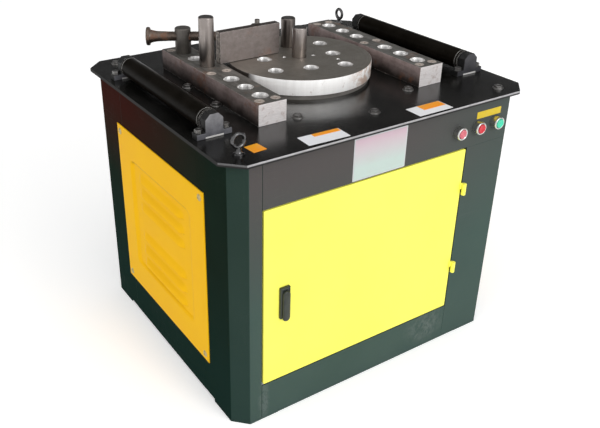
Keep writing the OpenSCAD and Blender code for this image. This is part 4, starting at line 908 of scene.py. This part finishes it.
def latchPieces(width, tall, thick, corner, topAbove, leverWide, leverLong, deep, gap, spindle, plug):
    low, high = millimetres("latch_base")
    x, face, pivotZ = (low[0] + high[0]) / 2, low[1] - gap, high[2] - topAbove
    pivot = (x, face, pivotZ)
    levels = [(0, 0), (0, thick - 2.6), (1.9, thick - 0.2), (2.4, thick), (3, thick), (3.6, thick - 0.9),
              (4.5, thick - 1)]
    base = slabSheet(width, tall, corner, levels, (x, high[1], high[2] - tall / 2), onFront)
    makePiece("latchHousing", [base], "latchBlack", "door", ("latch_base",))
    levels = [(0.8, 0), (0, 0.8), (0, deep - 3.2), (0.9, deep - 1.5), (2.6, deep - 0.5), (5.2, deep)]
    lever = slabSheet(leverWide, leverLong + leverWide, leverWide / 2 - 0.05, levels,
                      (x, face, pivotZ - leverLong / 2), onFront, 12)
    core = turnedSheet([(0, deep - 2.5), (7.2, deep - 2.5), (7.2, deep - 0.9), (6.6, deep - 0.6), (5.6, deep - 0.6),
                        (0, deep - 0.6)], pivot, onFront)
    shaft = rodSheet(spindle, face - millimetres("latch_cam")[0][1], 0.4, pivot, onFront, 32)
    makePiece("latchHandle", [lever, core, shaft], "latchBlack", "latch", ("latch_lever",))
    # key face: a round plug with a slot, z = -depth inside the slot
    t, r = circle(48), np.linspace(0, plug, 14)[:, None]
    slot = np.clip((0.75 - np.abs(r * np.cos(t))) / 0.3, 0, 1) * np.clip((3.6 - np.abs(r * np.sin(t))) / 0.3, 0, 1)
    key = capSheet(polar(r, t, 0.55 - 0.9 * slot), -0.8, (x, face - deep + 0.4, pivotZ), onFront)
    makePiece("latchKeyPlug", [key], "latchBlack", "latch", ())


latchPieces(**latchShape)
print("latch made")

# Door

doorShape = dict(sheet=2, corner=3, bend=1.6)


# one closed skin: from the middle of the pan's floor out to its rim, round the folded edge and over the front
def doorPiece(sheet, corner, bend):
    low, high = millimetres("door")
    (wide, deep, tall), middle = high - low, (low + high) / 2
    levels = [(sheet + 20, sheet), (sheet + 2, sheet), (sheet + 0.5, sheet + 0.4), (sheet, sheet + 1.2),
              (sheet, deep - 0.3), (sheet - 0.3, deep), (0.3, deep), (0, deep - 0.3), (0, bend),
              (0.12 * bend, 0.5 * bend), (0.5 * bend, 0.12 * bend), (bend, 0), (bend + 2, 0), (bend + 20, 0)]
    levels = [(inset, deep - down) for inset, down in levels]
    skin = slabSheet(wide, tall, corner, levels, (middle[0], high[1], middle[2]), onFront)
    makePiece("doorPan", [skin], "doorYellowLit", "door", ("door",))


doorPiece(**doorShape)
print("door made")

hingeShape = dict(radius=5.4, half=15, leaf=9, gap=0.15, edge=0.7, axisIn=6, heights=(226, 448), leafY=-349.5)


# weld-on hinges: two turned knuckles on one axis, each with a leaf back to its sheet
def hingePieces(radius, half, leaf, gap, edge, axisIn, heights, leafY):
    low, high = millimetres("door_hinges")
    axisX, axisY, top = high[0] - axisIn, low[1] + axisIn, half - gap
    knuckle = [(0, 0), (radius - edge, 0), (radius, edge), (radius, top - edge), (radius - edge, top), (0, top)]
    for name, node, body, side in (("hingeKnucklesDoor", "door_hinges", "door", -1),
                                   ("hingeKnucklesPost", "hinge_posts", "cabinet", 1)):
        parts = []
        for z in heights:
            foot = z - half if side > 0 else z + gap
            parts.append(turnedSheet(knuckle, (axisX, axisY, foot), onTop, 40))
            seat = (axisX + side * leaf / 2, leafY, foot + half / 2)
            parts.append(slabSheet(leaf, half - 1, 0.6, [(0, 0), (0, 3.6), (0.4, 4)], seat, onFront))
        makePiece(name, parts, "doorYellowLit", body, (node,))


hingePieces(**hingeShape)

stripShape = dict(wide=567.6, z=(0.8, 7), thick=2.5)


# the front sheet's lower edge, let down between the feet
def frontStrip(wide, z, thick):
    levels = [(0, 0), (0, thick - 0.3), (0.3, thick)]
    strip = slabSheet(wide, z[1] - z[0], 0.4, levels, (0, frontY + thick, sum(z) / 2), onFront, 4)
    makePiece("frontKickStrip", [strip], "cabinetPaint", "cabinet", ())


frontStrip(**stripShape)
print("hinges and front strip made")

# Push buttons and lamp

buttonShape = dict(xs=(198, 258, 318), z=603, collar=15.8, long=18, cap=10.5, sleeve=11, sleeveLong=26, stem=7.5,
                   stemLong=20)


def buttonPieces(xs, z, collar, long, cap, sleeve, sleeveLong, stem, stemLong):
    seats, bore = [(x, frontY, z) for x in xs], cap + 0.4
    ring = [(sleeve, -sleeveLong), (sleeve, 0), (collar - 1.5, 0), (collar - 1.5, long - 6.2),
            (collar - 0.5, long - 5.6), (collar - 0.2, long - 4.4), (collar - 0.9, long - 1.6),
            (collar - 1.7, long - 0.4), (collar - 2.5, long), (bore + 1.6, long), (bore + 0.4, long - 0.7),
            (bore, long - 2), (bore, 6), (stem + 0.4, 6), (stem + 0.4, -sleeveLong)]
    collars = [turnedSheet(ring, seat, onFront, 56, True) for seat in seats]
    makePiece("buttonCollars", collars, "zincPlate", "cabinet", ("button_collars",), 30)
    button = [(0, long + 0.4), (3, long + 0.45), (6, long + 0.7), (8.2, long + 1.15), (9.2, long + 1.55),
              (9.9, long + 1.6), (10.3, long + 1.3), (cap, long + 0.7), (cap, long - 7), (stem, long - 7),
              (stem, -stemLong), (0, -stemLong)]
    stop, start = [[turnedSheet(button, seat, onFront, 56)] for seat in seats[1:]]
    makePiece("stopCap", stop, "redPlastic", "stop_button", ("stop_button",), 30)
    makePiece("startCap", start, "greenPlastic", "start_button", ("start_button",), 30)
    # lamp: a dome with twelve flutes, h = dome(r) - flute(t) * rise(r)
    t, s = circle(96), np.linspace(0, 1, 16)[:, None]
    flute = np.cos(12 * t) * easing((s - 0.3) / 0.4) * easing((1 - s) / 0.15)
    dome = long + 2 * np.sqrt(np.clip(1 - (0.985 * s) ** 2.4, 0, 1)) - 0.35 * flute
    lens = capSheet(polar(cap * s, t, dome), 6.2, seats[0], onFront)
    makePiece("lampLens", [lens], "lampPink", "cabinet", ("lamp_lens",), 30)


buttonPieces(**buttonShape)
print("buttons made")

# Bolts on the table

boltShape = dict(radius=10.2, tall=7, washer=13, washerTall=1.6, shank=6, below=22, kitY=4,
                 side=(271.2, 68), gear=(157.5, 222), railY=285, corner=(345, 322))


def tableBolts(radius, tall, washer, washerTall, shank, below, kitY, side, gear, railY, corner):
    places = [(x * farX, kitY + y * farY) for farX, farY in (side, gear) for x in (-1, 1) for y in (-1, 1)]
    places += [(0, s * railY) for s in (-1, 1)] + [(s * corner[0], -s * corner[1]) for s in (-1, 1)]
    ring = [(0, 0.02), (washer, 0.02), (washer, 1.1), (washer - 0.5, washerTall), (0, washerTall)]
    parts = []
    for i, (x, y) in enumerate(places):
        seat, head = (x, y, tableZ), (x, y, tableZ + washerTall)
        parts += [turnedSheet(ring, seat, onTop, 40), rodSheet(shank, -below, 0, seat, onTop, 24),
                  hexHeadSheet(radius, tall - washerTall, head, onTop, 1, 0.4 + 0.53 * i)]
    makePiece("tableBoltHeads", parts, "boltSteel", "cabinet", ("table_bolts",))


tableBolts(**boltShape)

bracketBoltShape = dict(radius=9, tall=8, ear=13, rollerX=360, earX=31, ys=(-205, 213), shank=4)


def bracketBolts(radius, tall, ear, rollerX, earX, ys, shank):
    places = [(s * rollerX + e * earX, y) for s in (-1, 1) for e in (-1, 1) for y in ys]
    parts = []
    for i, (x, y) in enumerate(places):
        seat = (x, y, tableZ + ear)
        parts += [hexHeadSheet(radius, tall, seat, onTop, 0.6, 0.9 * i), rodSheet(shank, -ear, 0.1, seat, onTop, 20)]
    makePiece("bracketBoltHeads", parts, "boltSteel", "cabinet", ("bracket_bolts",))


bracketBolts(**bracketBoltShape)

eyeShape = dict(ring=13.5, wire=4, rise=30.5, collar=12, collarTall=4, neck=6.5, shank=6, below=22, x=363,
                y=314)


# lifting eyes: a ring ((R + w cos v) cos u, w sin v, (R + w cos v) sin u) on a flared neck
def liftingEyes(ring, wire, rise, collar, collarTall, neck, shank, below, x, y):
    u, v = circle(48)[:, None], circle(20)[None, :]
    thick = wire * (1 + 0.22 * np.clip(-np.sin(u), 0, 1) ** 3)  # the ring is stouter at its root
    reach = ring + thick * np.cos(v)
    loop = np.stack([reach * np.cos(u), thick * np.sin(v), reach * np.sin(u) + rise], -1)
    profile = [(0, -below), (shank, -below), (shank, 0.02), (collar, 0.02), (collar, collarTall - 0.9),
               (collar - 0.9, collarTall), (neck + 2.2, collarTall + 0.4), (neck + 0.6, collarTall + 2.2),
               (neck - 0.4, collarTall + 5), (neck - 0.6, rise - ring), (0, rise - ring)]
    parts = []
    for side, across, up in ((-1, (1, 0, 0), (0, 1, 0)), (1, (0, 1, 0), (-1, 0, 0))):
        seat = (side * x, side * y, tableZ)
        parts.append(sheetOf(placed(loop, seat, across, up, (0, 0, 1)), True, True))
        parts.append(turnedSheet(profile, seat, onTop, 40))
    makePiece("liftingEyes", parts, "eyeSteel", "cabinet", ("eye_bolts",))


liftingEyes(**eyeShape)
print("bolts and eyes made")

# Rollers

rollerShape = dict(x=360, z=701, y=(-209, 217), block=17, radius=24, shaft=10)


# turned tube with chamfered rims, a shallow end groove and a centred shaft
def rollerPiece(name, node, side, x, z, y, block, radius, shaft):
    half = [(0, 0.6), (2.2, 0.6), (2.8, 0), (shaft - 1, 0), (shaft, 1), (shaft, block), (15.5, block),
            (16.2, block + 1.4), (20.6, block + 1.4), (21.2, block), (radius - 1.2, block), (radius, block + 1.2),
            (radius, block + 7), (radius - 0.5, block + 7.4), (radius - 0.5, block + 8.6), (radius, block + 9),
            (radius, block + 40)]
    profile = half + [(r, y[1] - y[0] - h) for r, h in half[::-1]]
    tube = turnedSheet(profile, (side * x, y[0], z), ((1, 0, 0), (0, 0, -1), (0, 1, 0)), 72)
    makePiece(name, [tube], "rollerBlack", node, (node,), 30)


rollerPiece("rollerTubeLeft", "roller_left", -1, **rollerShape)
rollerPiece("rollerTubeRight", "roller_right", 1, **rollerShape)
print("rollers made")

# Adjusting screw

screwShape = dict(start=(-70, 84, 760), along=(-0.847843, 0.530247, 0), journal=8, journalIn=6, neck=17,
                  radius=12, depth=1.1, pitch=3, run=181.05, headOut=84, head=22, headThick=9, flare=34,
                  step=0.375)


# r(t, s) = body radius(s) less a triangle-wave thread of the turn s / pitch - t / 2 pi
def screwPiece(start, along, journal, journalIn, neck, radius, depth, pitch, run, headOut, head, headThick, flare,
               step):
    headFrom = run + headOut - headThick / 2
    headTo, flareFrom = headFrom + headThick, headFrom - flare
    s, t = np.arange(neck + 1, flareFrom, step), circle(40)
    phase = (s[:, None] / pitch - t / (2 * np.pi)) % 1
    fade = easing((s - s[0]) / 6) * easing((s[-1] - s) / 12)
    thread = polar(radius - depth * fade[:, None] * np.abs(2 * phase - 1), t, s[:, None])
    first = [(0, -journalIn), (journal - 0.8, -journalIn), (journal, 0.8 - journalIn), (journal, neck),
             (radius - 1, neck), (radius, neck + 0.9)]
    last = [(radius + 4.6 * q ** 2.6, flareFrom + q * flare) for q in np.linspace(0, 1, 12)]
    last += [(head - 2, headFrom), (head - 0.5, headFrom + 0.7), (head, headFrom + 2.2), (head, headTo - 2),
             (head - 0.9, headTo - 0.5), (head - 2.6, headTo), (10, headTo), (8.8, headTo - 0.5), (0, headTo - 0.5)]
    across = np.array([-along[1], along[0], 0])
    points = np.concatenate([turnedRings(first, t), thread, turnedRings(last, t)])
    body = sheetOf(placed(points, start, across, np.cross(along, across), along), False, True)
    makePiece("threadedScrew", [body], "screwSteel", "screw", ("adjusting_screw",), 50)


screwPiece(**screwShape)
print("screw made")

# Plates and stickers, all blank

plateLooks = {
    "plateTint": dict(axis=2, start=0.585, stop=0.645, first=(0.48, 0.575, 0.54), second=(0.56, 0.425, 0.485),
                      edge=(0.7, 0.7, 0.7), rough=0.35),
    "labelYellow": dict(axis=0, start=0.25, stop=0.34, first=(0.64, 0.465, 0.028), second=(0.68, 0.5, 0.032),
                        edge=(0.7, 0.55, 0.2)),
    "stickerOrange": dict(axis=1, start=-0.33, stop=-0.28, first=(0.94, 0.31, 0.006), second=(0.8, 0.37, 0.02),
                          edge=(0.8, 0.5, 0.2)),
    "stickerWhite": dict(axis=0, start=-0.25, stop=0.2, first=(0.78, 0.79, 0.82), second=(0.82, 0.82, 0.83),
                         edge=(0.6, 0.6, 0.6)),
    "plateBorder": dict(axis=0, start=-0.1, stop=0.04, first=(0.5, 0.51, 0.52), second=(0.56, 0.57, 0.58),
                        edge=(0.8, 0.8, 0.8), rough=0.3),
}


# printed plate: one tone fading into another along an axis, soiled, with worn edges
def plateFinish(name, axis, start, stop, first, second, edge, rough=0.4, soilTone=(0.45, 0.42, 0.38)):
    material, tree, shader = newFinish(name, Specular_IOR_Level=0.2)
    tone = spot(tree).xyz()[axis].remap(start, stop).tone(first, second)
    soil = noise(tree, 45, 6, 0.65).remap(0.5, 0.85, 0, 0.22)
    tone = soil.tone(tone, soilTone)
    wornAt(tree, 0.0012, 120, 0.3).tone(tone, edge).to(shader["Base Color"])
    noise(tree, 70).remap(0.2, 0.8, rough - 0.06, rough + 0.08).to(shader["Roughness"])
    noise(tree, 160, 2).bump(0.08).to(shader["Normal"])
    return material


finish.update({name: plateFinish(name, **look) for name, look in plateLooks.items()})

plateShape = dict(
    stickerCorner=1.2,
    fronts=[("dataPlate", "plateBorder", (-105, 41.5), (557, 656), 0.9, 2, "plate_steel"),
            ("dataPlatePrint", "plateTint", (-102.5, 39), (559.5, 653.5), 1.05, 1.5, "plate_steel"),
            ("buttonLabel", "labelYellow", (256, 334), (621, 638), 0.5, 1.5, "door_yellow")],
    stickers=[("cornerSticker", "stickerOrange", (-319, -305), (32, 34), 4, 0.35),
              ("leftSticker", "stickerWhite", (-172.5, -332.5), (101, 45), -2.2, 0.35),
              ("leftStickerBlock", "stickerOrange", (-156, -317.5), (66, 13.5), -2.2, 0.5),
              ("rightSticker", "stickerWhite", (117, -332.5), (98, 47), 0, 0.35),
              ("rightStickerBlock", "stickerOrange", (132.5, -322), (64, 25), 0, 0.5)])


def flatPlate(name, finishName, size, thick, corner, origin, way):
    levels = [(0, 0.02), (0, thick * 0.6), (0.12, thick * 0.88), (0.35, thick), (1.4, thick)]
    makePiece(name, [slabSheet(*size, corner, levels, origin, way, 5)], finishName, "cabinet", ())


def platePieces(stickerCorner, fronts, stickers):
    for name, finishName, (x0, x1), (z0, z1), thick, corner, slotName in fronts:
        seat = ((x0 + x1) / 2, frontY, (z0 + z1) / 2)
        flatPlate(name, finishName, (x1 - x0, z1 - z0), thick, corner, seat, onFront)
    for name, finishName, (x, y), size, turn, thick in stickers:
        c, s = math.cos(math.radians(turn)), math.sin(math.radians(turn))
        way = ((c, s, 0), (-s, c, 0), (0, 0, 1))
        flatPlate(name, finishName, size, thick, stickerCorner, (x, y, tableZ), way)


platePieces(**plateShape)
print("plates made")
